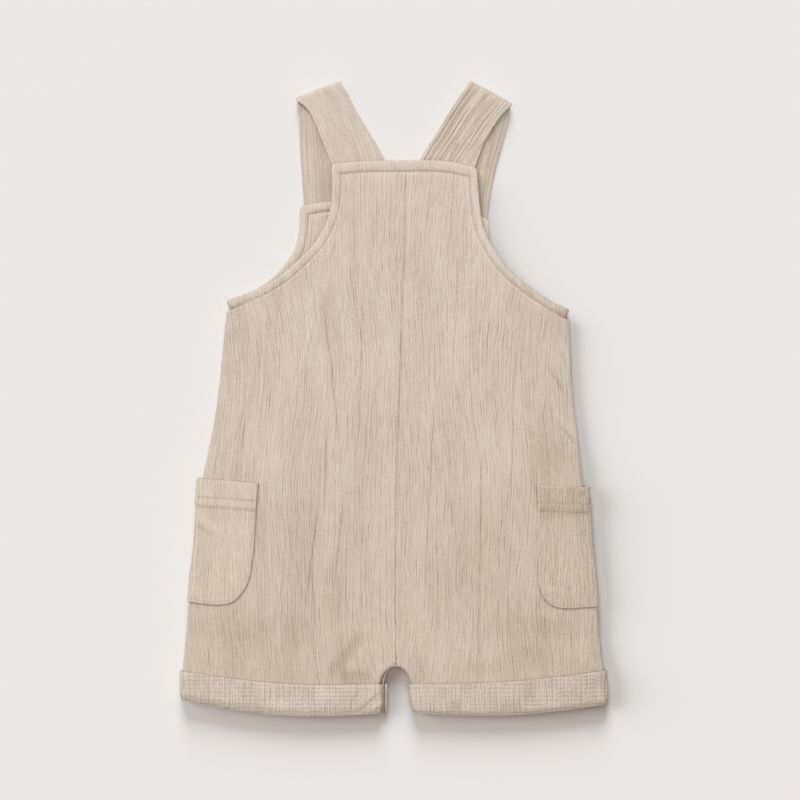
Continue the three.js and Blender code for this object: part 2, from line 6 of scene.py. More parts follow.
import bpy
import numpy as np
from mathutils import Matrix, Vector


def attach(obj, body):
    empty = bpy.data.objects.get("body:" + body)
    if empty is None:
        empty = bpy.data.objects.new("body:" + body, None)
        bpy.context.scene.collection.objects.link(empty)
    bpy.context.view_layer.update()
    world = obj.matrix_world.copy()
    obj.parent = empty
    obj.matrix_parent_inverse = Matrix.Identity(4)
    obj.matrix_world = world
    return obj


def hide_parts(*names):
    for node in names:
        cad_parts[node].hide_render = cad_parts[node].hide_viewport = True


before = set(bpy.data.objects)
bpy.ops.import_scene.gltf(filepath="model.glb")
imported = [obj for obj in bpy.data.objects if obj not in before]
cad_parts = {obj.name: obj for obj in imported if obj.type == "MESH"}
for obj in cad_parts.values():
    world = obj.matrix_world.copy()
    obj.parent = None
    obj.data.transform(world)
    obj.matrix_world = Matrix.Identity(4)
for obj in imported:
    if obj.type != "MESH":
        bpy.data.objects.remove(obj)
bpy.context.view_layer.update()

# Middle of the garment's footprint, which is the row frame's origin
FOOTPRINT_MIDDLE = np.array([-0.571, 236.936, 0.0])
MILLIMETRE = 0.001

# Driving dimensions, as in the solids
BAND_WIDTH = 7.2
BAND_PUFF = 0.55
STRAP = 2.0
CUFF = 2.2
CUFF_DROP = 1.0
POCKET = 1.4
POCKET_HEM = 2.2
SEAM_GAP = 0.3
CENTRE_GAP = 0.04
LAY_GAP = 0.4
HEM_SAG = {"left": 6.3, "right": 4.7}
FLARE_REACH = 22.0
CORNER_ROUND = 3.2

# The shown shell of one layer of cloth, and how far a panel reaches under its bands
SHELL = 1.2
TUCK_UNDER_BAND = 0.9

# The loose thickness of the garment: y and height
THICKNESS = np.array(
    [(0, 5.4), (36, 5.6), (80, 6), (180, 6.2), (310, 6), (345, 5.8), (383, 5.6), (412, 5.2)], float
)

# What lies under the front: west, east, south, north, how high it lifts the cloth above it, and the width
# over which the cloth climbs onto it
UNDERLAYS = [
    (-200, 200, -20, 36, CUFF + LAY_GAP, 40),
    (-200, -93, 79, 179, POCKET + LAY_GAP, 40),
    (-200, -93, 158, 179, POCKET_HEM + LAY_GAP, 30),
    (92, 200, 79, 179, POCKET + LAY_GAP, 40),
    (92, 200, 158, 179, POCKET_HEM + LAY_GAP, 30),
    (-75, -28, 347, 480, STRAP + LAY_GAP, 70),
    (29, 76, 345, 480, STRAP + LAY_GAP, 70),
]

# Soft folds of the uppermost cloth: middle x and y, degrees that its top leans left, length, width, height
FOLDS = [
    (-66, 270, -16, 130, 9, 0.6),
    (-47, 255, 6, 160, 8, -0.6),
    (-72, 140, 2, 200, 9, 0.5),
    (-58, 130, 1, 230, 10, -0.7),
    (-26, 225, 0, 170, 7, -0.5),
    (27, 210, -4, 190, 8, -0.6),
    (39, 215, -4, 180, 8, 0.5),
    (63, 125, 0, 210, 9, -0.7),
    (76, 130, -2, 190, 9, 0.5),
    (108, 250, 3, 110, 9, 0.6),
    (-35, 50, -38, 70, 9, -0.7),
    (28, 52, 12, 80, 8, 0.7),
    (-127, 50, 0, 50, 12, 0.5),
]

# Outlines of the laid garment, each from its lower end upwards
CENTRE_SEAM = [(0.5, 38), (0, 87.5), (0.5, 146.5), (2.5, 213), (5.5, 309.5), (7, 350), (8, 412)]
RIGHT_INSEAM = [(15.5, 5), (13.5, 14), (12, 24.5), (9.8, 30.6), (7, 34.6), (4.2, 37.2), (0.5, 38)]
INSEAM = {
    "back": {
        "left": [(-11.5, 5), (-11.5, 15), (-11, 25.5), (-9.2, 31.2), (-6.3, 35), (-3.2, 37.3), (0.5, 38)],
        "right": RIGHT_INSEAM,
    },
    "front": {
        "left": [(-7.8, 5), (-7.8, 15), (-7.9, 25.5), (-7, 31.2), (-5, 35), (-2.8, 37.3), (0.5, 38)],
        "right": RIGHT_INSEAM,
    },
}
SIDE_SEAM = {
    "left": [
        (-157, 14.5), (-157, 35), (-155, 57.5), (-152.5, 84.5), (-150.5, 106), (-147, 130),
        (-142, 177.5), (-135.5, 211), (-130, 246.5), (-127.5, 276), (-124.5, 300.8),
    ],
    "right": [
        (156, 11.5), (154.5, 35), (152, 57.5), (150, 80.5), (148, 102), (142.5, 150),
        (139, 173), (135.5, 208.5), (131.5, 242.5), (130, 272.5), (129, 294.3),
    ],
}

# Rows of cloth across a leg: y at the inseam, y at the left and right side seam, share of the hem's sag
LEG_ROWS = [
    (5, 14.5, 11.5, 1), (12, 21.5, 19.5, 0.9), (19, 28.5, 27.5, 0.8), (25.5, 35, 35.5, 0.68),
    (31.5, 39.5, 39.5, 0.45), (35.5, 43, 43, 0.2), (37.4, 45.4, 45.4, 0.05), (38, 46.5, 46.5, 0),
]
CUFF_TOP_ROW = 3

# Rows across the body: y at the centre seam, y at the left and right side seam
BODY_ROWS = [
    (41, 48.6, 48.6), (53, 57, 57), (68, 69, 69),
    *((level, level, level) for level in (79, 92, 112, 135, 158, 179, 190, 212, 236)),
    (262, 260, 260), (286, 282, 280), (309.5, 300.8, 294.3),
]
ARMHOLE_STEPS = 11
TOP_BROADER = {"back": 1.9, "front": 0.0}

# The finished edges, each from the left side seam over the bib to the right side seam
EDGES = {
    "back": {
        "left": [
            (-124.5, 309), (-103, 317), (-86, 326.5), (-71.5, 339), (-58, 353.5), (-50.5, 368),
            (-47, 383), (-47.2, 410),
        ],
        "top": [(-47.2, 410), (-28.5, 411.8), (6, 412.6), (37.5, 412), (60.5, 407.5)],
        "right": [
            (60.5, 407.5), (63, 376.5), (66, 361.5), (78, 339.5), (88, 328.5), (100, 319),
            (117, 307.5), (129, 302.5),
        ],
    },
    "front": {
        "left": [
            (-124.5, 309), (-114, 312.8), (-99.5, 319.5), (-86, 330.5), (-76, 344), (-71.5, 357.5),
            (-70.5, 379),
        ],
        "top": [(-70.5, 379), (-47.5, 382.5), (0, 383.5), (44.5, 377.5), (69.5, 369.8)],
        "right": [
            (69.5, 369.8), (69.5, 356), (74.5, 342), (83, 331), (96, 319.5), (113, 308), (129, 302.5),
        ],
    },
}

# Levels of a pocket: y, reach from the fold, how far it stands off the fold, how far its inner end lies above
POCKETS = {
    "left": [
        (85.8, 20, 0, -2.2), (87.5, 31, 0, -2), (93, 38, 0, -1), (103, 43, 0, 0), (118, 43.5, 0.2, 0),
        (140, 42.5, 0.8, -1), (164.5, 41.5, 1.8, -2.5), (177.5, 41, 2.4, -3),
    ],
    "right": [
        (82.5, 25, 0, -1.5), (84.5, 34, 0, -1), (90.5, 40, 0, 0), (100, 42, 0, 0.5), (118, 41, 0.2, 0.8),
        (138, 39, 0.7, 1), (158.5, 36, 1.6, 1.2), (171.5, 34.5, 2.4, 1.5),
    ],
}
# Each pocket's two rows of stitching at its hem: how far below the mouth they lie
POCKET_HEM_ROWS = {"left": (13.5, 19.5), "right": (13.3, 17.8)}

# Each strap's two long edges, west x, y, z and east x, y, z: over the shoulder from inside the back bib to
# the fold, then under from the fold to the outside of the front bib
STRAPS = {
    "left": {
        "over": [
            (-44.5, 399.5, 4.2, -1, 399.5, 1.3), (-47.2, 410, 4.2, -6, 410.5, 1.5),
            (-50.5, 419, 4.2, -12, 422, 2), (-54.5, 428.5, 4.2, -18, 432, 2.6),
            (-59, 439.5, 4.4, -24, 442, 3.2), (-63.5, 448.5, 4.9, -30.5, 453, 4.2),
            (-68, 453.6, 5.3, -35.5, 463, 5.1), (-72.6, 456.4, 5.4, -39.6, 469, 5.4),
        ],
        "under": [
            (-72.6, 456.4, 1, -39.6, 469, 1), (-71.5, 447.5, 1, -38.5, 457.5, 1),
            (-71, 436, 1, -37, 442, 1), (-70, 415, 1, -35.5, 418, 1), (-68.5, 395, 1, -35, 397, 1),
            (-67.5, 378, 1, -34, 379, 1), (-66, 353.5, 1, -33, 355, 1),
        ],
    },
    "right": {
        "over": [
            (11.5, 399.5, 1.6, 52, 398.5, 4.4), (17, 410.5, 1.8, 58.5, 407, 4.4),
            (23.5, 422, 2.5, 62.5, 417, 4.3), (30.5, 432.5, 2.9, 66, 426, 4.2),
            (36.5, 442.5, 3.2, 71, 434.5, 4.4), (42.5, 452, 4.2, 76, 442.5, 4.9),
            (48.5, 461, 5.1, 80.5, 448, 5.3), (54.5, 469.4, 5.4, 85.5, 452.4, 5.4),
        ],
        "under": [
            (54.5, 469.4, 1, 85.5, 452.4, 1), (52, 457.5, 1, 84, 441, 1), (47.5, 441, 1, 80, 426, 1),
            (42, 424, 1, 75.5, 410, 1), (38, 407, 1, 72, 395, 1), (34.5, 385, 1, 69, 376, 1),
            (33.5, 352, 1, 66.5, 351.5, 1),
        ],
    },
}

# Listed creases: x, y at one end, x, y at the other, width, height. The long ones run on past both
# of their ends by a share of their length.
LONG_REACH = 0.28
LONG_CREASES = [
    (-51, 203, -52, 170, 0.5, -0.43),
    (-39.6, 151, -43.7, 107, 0.5, -0.43),
    (-58, 148, -63.6, 101, 0.5, -0.49),
    (-60.7, 101, -59, 69, 0.5, -0.43),
    (27.8, 205, 23.7, 129, 0.5, -0.43),
    (63.4, 158, 61.4, 50, 0.5, -0.49),
    (31, 118, 33, 70, 0.5, -0.34),
    (-24, 294, -26, 226, 0.5, -0.41),
    (-50, 289, -43, 220, 0.5, -0.57),
    (-58, 300, -75, 240, 1.03, 0.49),
    (-110, 225, -113, 190, 0.5, -0.34),
    (-96, 290, -99, 240, 0.75, 0.3),
    (-84, 120, -86, 60, 0.84, 0.3),
    (88, 235, 86, 180, 0.5, -0.41),
    (98, 290, 101, 245, 0.75, 0.3),
    (46, 330, 43, 270, 0.5, -0.34),
    (-30, 375, -29, 320, 0.5, -0.28),
    (84, 110, 83, 55, 0.5, -0.41),
    (-12, 150, -11, 95, 0.5, -0.31),
]
SHORT_CREASES = [
    (-48, 31, -23.5, 63, 4, -0.45),
    (23, 75, 33, 30, 4, 0.65),
    (-17, 45, -12.5, 31, 1.2, -0.32),
    (14, 46, 20, 33, 1.1, -0.28),
    (-14.5, 42, -12.5, 31, 3.2, 0.42),
    (-40, 29, -20, 31, 4, -0.42),
    (119, 226, 134, 208, 1.4, 0.35),
    (121, 219, 134, 203, 1.2, -0.35),
    (112, 262, 126, 240, 1.3, -0.3),
    (122, 282, 129, 262, 1.3, 0.3),
]

# Painted shade on the panels, darker places with no height of their own: x, y, reach along x and y, depth
SHADES = [
    (117, 192, 17, 16, 0.2),
    (-31, 30, 15, 5, 0.22),
    (-70, 60, 22, 14, 0.12),
    (112, 68, 20, 7, 0.2),
    (98, 48, 16, 9, 0.16),
    (62, 36, 24, 6, 0.14),
    (-112, 60, 14, 12, 0.12),
]

# Creases at the inner end of the left cuff, and the seam near the outer end of the right one
CUFF_CREASES = {
    "left": [(-28, 3, -13, 18, 1.1, -0.8), (-22, 1, -11, 13, 1.2, 0.5), (-34, 9, -27, 20, 1, -0.35)],
    "right": [(154.2, 30, 155.6, 2, 0.7, -0.55)],
}

# How finely the panels are divided: columns between their edges, and height of a row
GRID_MIDDLE = {"back": 340, "front": 110}
GRID_ROW = {"back": 3.1, "front": 4.0}
FOLD_STEPS = 8
FOLD_ANGLES = np.linspace(0, np.pi / 2, FOLD_STEPS + 1)[:, None]
# Steps of a curve between two of its points, and of a finished edge
CURVE_STEPS = 24
EDGE_STEPS = 400
UP = np.array([0.0, 0.0, 1.0])
FACING = {"back": 1, "front": -1}
OUTWARD = {"left": -1, "right": 1}
SIDE_COLUMN = {"left": 1, "right": 2}


# Small helpers
def smoothstep(value, low, high):
    share = np.clip((value - low) / (high - low), 0, 1)
    return share * share * (3 - 2 * share)


def unit(vectors):
    return vectors / np.linalg.norm(vectors, axis=-1, keepdims=True)


def bump_of(distance, width):
    return np.exp(-((distance / width) ** 2))


def to_row(points):
    return (points - FOOTPRINT_MIDDLE) * MILLIMETRE


# Where the fabric's texture is read: x, y and a number that differs from cloth to cloth
def grain_of(x, y, seed):
    return np.stack([x, y, np.full_like(x, seed)], axis=-1)


# 1 at each hole between two stitches and 0 between them
def stitch_holes(run, pitch):
    return (0.5 + 0.5 * np.cos(2 * np.pi * run / pitch)) ** 2


# Smooth line through points, the same curve as the solids are built on
def curve_through(points):
    known = np.array(points, float)
    all_points = np.vstack([2 * known[0] - known[1], known, 2 * known[-1] - known[-2]])
    share = np.linspace(0, 1, CURVE_STEPS, endpoint=False)[:, None]
    parts = []
    for p0, p1, p2, p3 in zip(all_points, all_points[1:], all_points[2:], all_points[3:]):
        d0, d1, d2 = (np.linalg.norm(b - a) ** 0.5 for a, b in ((p0, p1), (p1, p2), (p2, p3)))
        t1 = ((p1 - p0) / d0 - (p2 - p0) / (d0 + d1) + (p2 - p1) / d1) * d1
        t2 = ((p2 - p1) / d1 - (p3 - p1) / (d1 + d2) + (p3 - p2) / d2) * d1
        square = (3 * (p2 - p1) - 2 * t1 - t2) * share**2
        cube = (2 * (p1 - p2) + t1 + t2) * share**3
        parts.append(p1 + t1 * share + square + cube)
    return np.vstack(parts + [known[-1:]])


def run_lengths(line):
    steps = np.linalg.norm(np.diff(line, axis=0), axis=1)
    return np.concatenate([[0], np.cumsum(steps)])


# Points of a line at given distances from its start
def at_lengths(line, lengths, at):
    return np.stack([np.interp(at, lengths, line[:, k]) for k in range(line.shape[1])], axis=-1)


def along_line(line, shares):
    lengths = run_lengths(line)
    return at_lengths(line, lengths, np.asarray(shares) * lengths[-1])


# The point of a line at a height, and the line's way there
def at_y(line, y):
    step = 0.5
    x, low, high = (np.interp(y + rise, line[:, 1], line[:, 0]) for rise in (0, -step, step))
    return np.array([x, y]), unit(np.array([high - low, 2 * step]))


def right_of(direction):
    return unit(np.stack([direction[..., 1], -direction[..., 0]], axis=-1))


# How far points lie from a line
def distance_to(points, line):
    nearest = np.full(points.shape[:-1], 1e9)
    for a, b in zip(line[:-1], line[1:]):
        run = b - a
        share = np.clip(((points - a) @ run) / max(run @ run, 1e-9), 0, 1)
        nearest = np.minimum(nearest, np.linalg.norm(points - a - share[..., None] * run, axis=-1))
    return nearest


# Heights of the laid cloth
def underlay(x, y):
    lift = np.zeros(np.shape(x))
    for west, east, south, north, height, margin in UNDERLAYS:
        out_x = np.maximum(np.maximum(west - x, x - east), 0)
        out_y = np.maximum(np.maximum(south - y, y - north), 0)
        climb = 1 - smoothstep(np.hypot(out_x, out_y), 0, margin)
        lift = np.maximum(lift, height * climb)
    return lift


def soft_folds(x, y):
    height = np.zeros(np.shape(x))
    for middle_x, middle_y, lean, length, width, rise in FOLDS:
        turn = math.radians(lean)
        dx, dy = x - middle_x, y - middle_y
        across = dx * math.cos(turn) + dy * math.sin(turn)
        along = dy * math.cos(turn) - dx * math.sin(turn)
        fade = 1 - smoothstep(np.abs(along), length * 0.25, length * 0.5)
        height += rise * fade * bump_of(across, width)
    return height


def thickness(y):
    return np.interp(y, THICKNESS[:, 0], THICKNESS[:, 1])


def face_height(layer, x, y):
    if layer == "front":
        return underlay(x, y)
    return underlay(x, y) + thickness(y) + soft_folds(x, y)


def fold_radius(y):
    return (thickness(y) - SEAM_GAP) / 2


# Seeded noise of about -1 to 1, one cell a unit
NOISE_CELLS = (512, 128)


def smooth_noise(u, v, seed):
    table = np.random.default_rng(seed).uniform(-1, 1, NOISE_CELLS)
    low_u, low_v = np.floor(u).astype(int), np.floor(v).astype(int)
    share_u, share_v = smoothstep(u - low_u, 0, 1), smoothstep(v - low_v, 0, 1)

    def corner(du, dv):
        return table[(low_u + du) % NOISE_CELLS[0], (low_v + dv) % NOISE_CELLS[1]]

    bottom = corner(0, 0) * (1 - share_u) + corner(1, 0) * share_u
    top = corner(0, 1) * (1 - share_u) + corner(1, 1) * share_u
    return bottom * (1 - share_v) + top * share_v


# Long narrow waves that wander a little: u runs across them and v along them
def streaks(u, v, pitch, length, seed):
    wander = 0.3 * pitch * smooth_noise(u / (4 * pitch), v / (0.3 * length), seed + 1)
    wander += 0.7 * smooth_noise(u / 24, v / 22, seed + 2)
    return smooth_noise((u + wander) / pitch, v / length, seed)


# Nearly regular lengthwise ridges with narrow valleys between them, which wander and fade
def pleats(u, v, pitch, length, seed):
    turn = 1.5 * smooth_noise(u / (2.5 * pitch), v / length, seed)
    turn += 1.3 * smooth_noise(u / 23, v / (1.5 * length), seed + 1)
    strength = 0.75 + 0.4 * smooth_noise(u / (2.6 * pitch), v / length, seed + 2)
    return strength * (np.abs(np.sin(np.pi * u / pitch + turn)) - 0.64)


# The cloth's lines lean a little to one side or the other from place to place
LEAN = 6.0
LEAN_CELL = (65, 85)
LEAN_SEED = 91


def leaning(x, y):
    return x + LEAN * smooth_noise(x / LEAN_CELL[0] + 0.5, y / LEAN_CELL[1], LEAN_SEED)


# The fabric's own crinkles
def crinkles(u, v, seed, length=34.0):
    fine = pleats(u, v, 2.2, length, seed)
    middle = pleats(u, v, 3.7, 1.3 * length, seed + 10)
    broad = streaks(u, v, 5.5, 1.5 * length, seed + 20)
    return 0.13 * fine + 0.05 * middle + 0.04 * broad


# Listed creases waver a little and fade at their ends
CREASE_SWAY = 0.8
CREASE_CELL = (40, 24)
CREASE_SEED = 71


def hand_creases(x, y, rows):
    height = np.zeros(np.shape(x))
    sway = CREASE_SWAY * smooth_noise(x / CREASE_CELL[0], y / CREASE_CELL[1], CREASE_SEED)
    for x0, y0, x1, y1, width, rise in rows:
        length = np.hypot(x1 - x0, y1 - y0)
        way_x, way_y = (x1 - x0) / length, (y1 - y0) / length
        along = (x - x0) * way_x + (y - y0) * way_y
        across = (x - x0) * way_y - (y - y0) * way_x + sway
        fade = smoothstep(along, -0.15 * length, 0.25 * length)
        fade *= 1 - smoothstep(along, 0.75 * length, 1.15 * length)
        height += rise * fade * bump_of(across, width)
    return height


# A long crease as it lies, its ends to a tenth of a millimetre
def run_on(x0, y0, x1, y1, width, rise):
    past_x, past_y = LONG_REACH * (x1 - x0), LONG_REACH * (y1 - y0)
    ends = np.round((x0 - past_x, y0 - past_y, x1 + past_x, y1 + past_y), 1)
    return (*ends, width, rise)


PANEL_CREASES = [run_on(*crease) for crease in LONG_CREASES] + SHORT_CREASES


def shade_at(x, y):
    shade = np.zeros(np.shape(x))
    for middle_x, middle_y, reach_x, reach_y, depth in SHADES:
        shade += depth * bump_of(x - middle_x, reach_x) * bump_of(y - middle_y, reach_y)
    return shade


# Finished edges. Lines set in from one edge, cut where they meet. A band is broader where its top says so.
def edge_lines(layer, inset, steps):
    lines = {}
    for part, points in EDGES[layer].items():
        line = along_line(curve_through(points), np.linspace(0, 1, EDGE_STEPS))
        broader = TOP_BROADER[layer] if part == "top" and inset > 0 else 0
        lines[part] = line + right_of(np.gradient(line, axis=0)) * (inset + broader)
    left, top, right = lines.values()
    left_end, top_start, left_corner = meeting(left, top)
    top_end, right_start, right_corner = meeting(top, right)
    cut = {
        "left": np.vstack([left[: left_end + 1], left_corner]),
        "top": np.vstack([left_corner, top[top_start + 1 : top_end + 1], right_corner]),
        "right": np.vstack([right_corner, right[right_start + 1 :]]),
    }
    return {part: along_line(line, np.linspace(0, 1, steps[part] + 1)) for part, line in cut.items()}


# Where two lines cross: the steps of each at which they do, and the point
def meeting(first, second):
    a, b = first[:-1, None], second[None, :-1]
    da, db = np.diff(first, axis=0)[:, None], np.diff(second, axis=0)[None, :]
    turn = da[..., 0] * db[..., 1] - da[..., 1] * db[..., 0]
    turn = np.where(np.abs(turn) < 1e-12, 1e-12, turn)
    gap = b - a
    s = (gap[..., 0] * db[..., 1] - gap[..., 1] * db[..., 0]) / turn
    t = (gap[..., 0] * da[..., 1] - gap[..., 1] * da[..., 0]) / turn
    hits = np.argwhere((s >= 0) & (s <= 1) & (t >= 0) & (t <= 1))
    if len(hits) == 0:
        return len(first) - 2, 0, first[-1]
    i, j = hits[0]
    return i, j, first[i] + s[i, j] * (first[i + 1] - first[i])


# A row of a half panel is its inner end and the way a fold there faces, the same for its outer end, how the
# row bends, and whether it starts beside the centre seam
def leg_row(layer, side, row):
    inner, inner_way = at_y(curve_through(INSEAM[layer][side]), row[0])
    outer, outer_way = at_y(curve_through(SIDE_SEAM[side]), row[SIDE_COLUMN[side]])
    at_crotch = row[3] == 0
    inner_out = np.array([0.0, -1.0]) if at_crotch else -OUTWARD[side] * right_of(inner_way)
    outer_out = OUTWARD[side] * right_of(outer_way)
    sag = HEM_SAG[side] * row[3]
    return inner, inner_out, outer, outer_out, lambda x, share: -sag * np.sin(np.pi * share), at_crotch


def body_row(side, row):
    inner, _ = at_y(curve_through(CENTRE_SEAM), row[0])
    outer, outer_way = at_y(curve_through(SIDE_SEAM[side]), row[SIDE_COLUMN[side]])
    return inner, None, outer, OUTWARD[side] * right_of(outer_way), lambda x, share: 0 * share, True


# Rows of the bib follow the crown of its top edge, less and less down to the armhole
def bib_rows(layer, side):
    steps = {"left": ARMHOLE_STEPS, "top": 60, "right": ARMHOLE_STEPS}
    lines = edge_lines(layer, BAND_WIDTH - TUCK_UNDER_BAND, steps)
    armhole = lines["left"][1:] if side == "left" else lines["right"][-2::-1]
    top = lines["top"]
    seam_line = curve_through(CENTRE_SEAM)
    seam_foot = BODY_ROWS[-1][0]
    seam_top = np.interp(seam_line[-1, 0], top[:, 0], top[:, 1])
    corner_y = armhole[-1][1]
    rows = []
    for i, outer in enumerate(armhole):
        up = (i + 1) / len(armhole)
        inner, _ = at_y(seam_line, seam_foot + (seam_top - seam_foot) * up)

        def crown(x, share, up=up):
            level = seam_top + (corner_y - seam_top) * share
            return (np.interp(x, top[:, 0], top[:, 1]) - level) * up**4

        rows.append((inner, None, outer, None, crown, True))
    return rows


# Places round a folded edge, from its outermost line in to the flat cloth: x, y, normal x, y, z, drop
def fold_places(layer, corner, out):
    radius = fold_radius(corner[1])
    turned_in = radius * (1 - np.cos(FOLD_ANGLES))
    normal = np.hstack([out * np.cos(FOLD_ANGLES), FACING[layer] * np.sin(FOLD_ANGLES)])
    return np.hstack([corner - out * turned_in, normal, radius * (1 - np.sin(FOLD_ANGLES))])


# The same for one end of a row, which has a fold only if it faces out somewhere
def end_places(layer, corner, out, towards):
    if out is not None:
        return fold_places(layer, corner, out)
    reach = fold_radius(corner[1]) * (1 - np.cos(FOLD_ANGLES))
    return np.hstack([corner + towards * reach, np.tile(UP * FACING[layer], (len(reach), 1)), 0 * reach])


def row_places(layer, side, row, middle):
    inner, inner_out, outer, outer_out, bend, beside_seam = row
    across = unit(outer - inner)
    start = end_places(layer, inner, inner_out, across)
    finish = end_places(layer, outer, outer_out, -across)
    flat = start[-1] + (finish[-1] - start[-1]) * np.linspace(0, 1, middle + 2)[1:-1, None]
    if beside_seam:
        start[:, 0] += OUTWARD[side] * CENTRE_GAP / 2
    places = np.vstack([start, flat, finish[::-1]])
    share = (places[:, 0] - inner[0]) / (outer[0] - inner[0])
    places[:, 1] += bend(places[:, 0], share)
    return places


# More rows between known ones, on a smooth curve through them
def finer_rows(known, spacing):
    level = known[:, :, 1].mean(axis=1)
    steps = np.diff(level)
    slope = np.diff(known, axis=0) / steps[:, None, None]
    tangent = np.empty_like(known)
    weight = (steps[:-1] / (steps[:-1] + steps[1:]))[:, None, None]
    tangent[1:-1] = slope[:-1] * (1 - weight) + slope[1:] * weight
    tangent[0], tangent[-1] = slope[0], slope[-1]
    parts = []
    for i, step in enumerate(steps):
        count = max(1, int(round(step / spacing)))
        s = np.linspace(0, 1, count, endpoint=False)[:, None, None]
        parts.append(
            known[i] * (2 * s**3 - 3 * s**2 + 1)
            + tangent[i] * step * (s**3 - 2 * s**2 + s)
            + known[i + 1] * (3 * s**2 - 2 * s**3)
            + tangent[i + 1] * step * (s**3 - s**2)
        )
    return np.concatenate(parts + [known[-1:]])


# The skin of a half panel, as a grid of places. Corners between its parts stay sharp.
def panel_places(layer, side, middle, spacing):
    parts = [
        [leg_row(layer, side, row) for row in LEG_ROWS],
        [body_row(side, row) for row in BODY_ROWS],
        bib_rows(layer, side),
    ]
    grids = [np.stack([row_places(layer, side, row, middle) for row in part]) for part in parts]
    grids[1] = np.concatenate([grids[0][-1:], grids[1]])
    grids[2] = np.concatenate([grids[1][-1:], grids[2]])
    fine = [finer_rows(grid, spacing) for grid in grids]
    return np.concatenate([fine[0], fine[1][1:], fine[2][1:]])


# Points of a grid of places, each moved out along its normal
def skin_points(layer, places, offset):
    x, y, drop = places[..., 0], places[..., 1], places[..., 5]
    z = face_height(layer, x, y) - FACING[layer] * drop
    normal = unit(places[..., 2:5])
    return np.stack([x, y, z], axis=-1) + normal * np.asarray(offset)[..., None]


def add_object(name, data):
    thing = bpy.data.objects.new(name, data)
    bpy.context.scene.collection.objects.link(thing)
    return thing


# Making meshes. Points are in millimetres, and relief is how far the cloth stands above or below its plain
# form, less the painted shade there.
def new_mesh(name, points, faces, grain, relief, material):
    mesh = bpy.data.meshes.new(name)
    faces = np.asarray(faces)
    corners = points[faces]
    fan = np.cross(corners[:, 1] - corners[:, 0], corners[:, 2] - corners[:, 0])
    if np.einsum("ij,ij->", corners[:, 0], fan) < 0:
        faces = faces[:, ::-1]
    mesh.from_pydata(to_row(points).tolist(), [], faces.tolist())
    for key, kind, field, values in (
        ("grain", "FLOAT_VECTOR", "vector", grain),
        ("relief", "FLOAT", "value", relief),
    ):
        mesh.attributes.new(key, kind, "POINT").data.foreach_set(field, values.astype(np.float32).ravel())
    mesh.polygons.foreach_set("use_smooth", [True] * len(mesh.polygons))
    mesh.materials.append(material)
    mesh.update()
    return add_object(name, mesh)


# A closed wall between an outer and an inner grid of points of the same shape
def closed_wall(name, outer, inner, grain, relief, material):
    rows, columns = outer.shape[:2]
    near, far = np.arange(2 * rows * columns).reshape(2, rows, columns)
    sides = (
        (near[:-1, :-1], near[:-1, 1:], near[1:, 1:], near[1:, :-1]),
        (far[:-1, :-1], far[1:, :-1], far[1:, 1:], far[:-1, 1:]),
        (near[:-1, 0], near[1:, 0], far[1:, 0], far[:-1, 0]),
        (near[:-1, -1], far[:-1, -1], far[1:, -1], near[1:, -1]),
        (near[0, :-1], far[0, :-1], far[0, 1:], near[0, 1:]),
        (near[-1, :-1], near[-1, 1:], far[-1, 1:], far[-1, :-1]),
    )
    faces = np.vstack([np.stack([corner.ravel() for corner in side], axis=1) for side in sides])
    points = np.concatenate([outer.reshape(-1, 3), inner.reshape(-1, 3)])
    grain, relief = (
        np.concatenate([part.reshape(rows * columns, -1)] * 2) for part in (grain, relief)
    )
    return new_mesh(name, points, faces, grain, relief, material)


# A closed tube from loops of points, each end closed over its middle
def closed_tube(name, loops, grain, relief, material):
    rows, around = loops.shape[:2]
    index = np.arange(rows * around).reshape(rows, around)
    turned = np.roll(index, -1, axis=1)
    sides = np.stack([index[:-1], turned[:-1], turned[1:], index[1:]], axis=-1).reshape(-1, 4)
    half = around // 2
    strip = np.arange(half - 1)
    caps = []
    for row, order in ((0, 1), (rows - 1, -1)):
        ring = index[row]
        quads = np.stack([ring[strip], ring[-1 - strip], ring[-2 - strip], ring[strip + 1]], axis=1)
        caps.append(quads[:, ::order])
    faces = np.vstack([sides] + caps)
    return new_mesh(name, loops.reshape(-1, 3), faces, grain.reshape(-1, 3), relief.reshape(-1, 1), material)


# Panels
CENTRE_STITCH = 2.4
CLOTH_SEED = {"back": 100, "front": 400}
EDGE_TUCK = 0.35
LIP = 0.3
POCKET_EDGE_SHADE = 0.22
INSEAM_SHADE = 0.7
# The front's outer face lies this much lower, so that its crinkle stays above the surface under it
FRONT_CLEARANCE = 0.15


# The seam's groove fades towards the crotch
def centre_seam_groove(distance, y):
    roll = -0.2 * bump_of(distance, 0.8)
    dots = -0.35 * bump_of(distance, 0.5) * (0.5 + 0.5 * np.cos(2 * np.pi * y / CENTRE_STITCH))
    return (roll + dots) * (0.3 * smoothstep(y, 42, 60) + 0.7 * smoothstep(y, 90, 220))


# The cloth stands up in a soft lip beside the topstitching of its band
def lip_beside_band(places, in_bib):
    flat = places[in_bib, :, :2]
    edge = np.vstack([flat[::2, -1], flat[-1, ::-8]])
    lip = np.zeros(places.shape[:2])
    lip[in_bib] = LIP * bump_of(distance_to(flat, edge) - 1.5, 1.1)
    return lip


# Painted shade: a narrow darker line in the back's cloth along a pocket's sewn edge
def painted_shade_beside_pocket(side, x, y):
    grid = pocket_places(side)
    rim = np.vstack([grid[::-5, 0, :2], grid[0, : grid.shape[1] // 2 : 2, :2]])
    edge_shade = POCKET_EDGE_SHADE * bump_of(distance_to(np.stack([x, y], axis=-1), rim) - 0.5, 0.9)
    return edge_shade if side == "left" else edge_shade * (1 - smoothstep(y, 92, 112))


# The front's inseam shows beside the back's left leg, in its shade
def inseam_shade(layer, x, y):
    if layer == "back":
        return np.zeros_like(x)
    return INSEAM_SHADE * bump_of(x + 9, 4) * (1 - smoothstep(y, 34, 44))


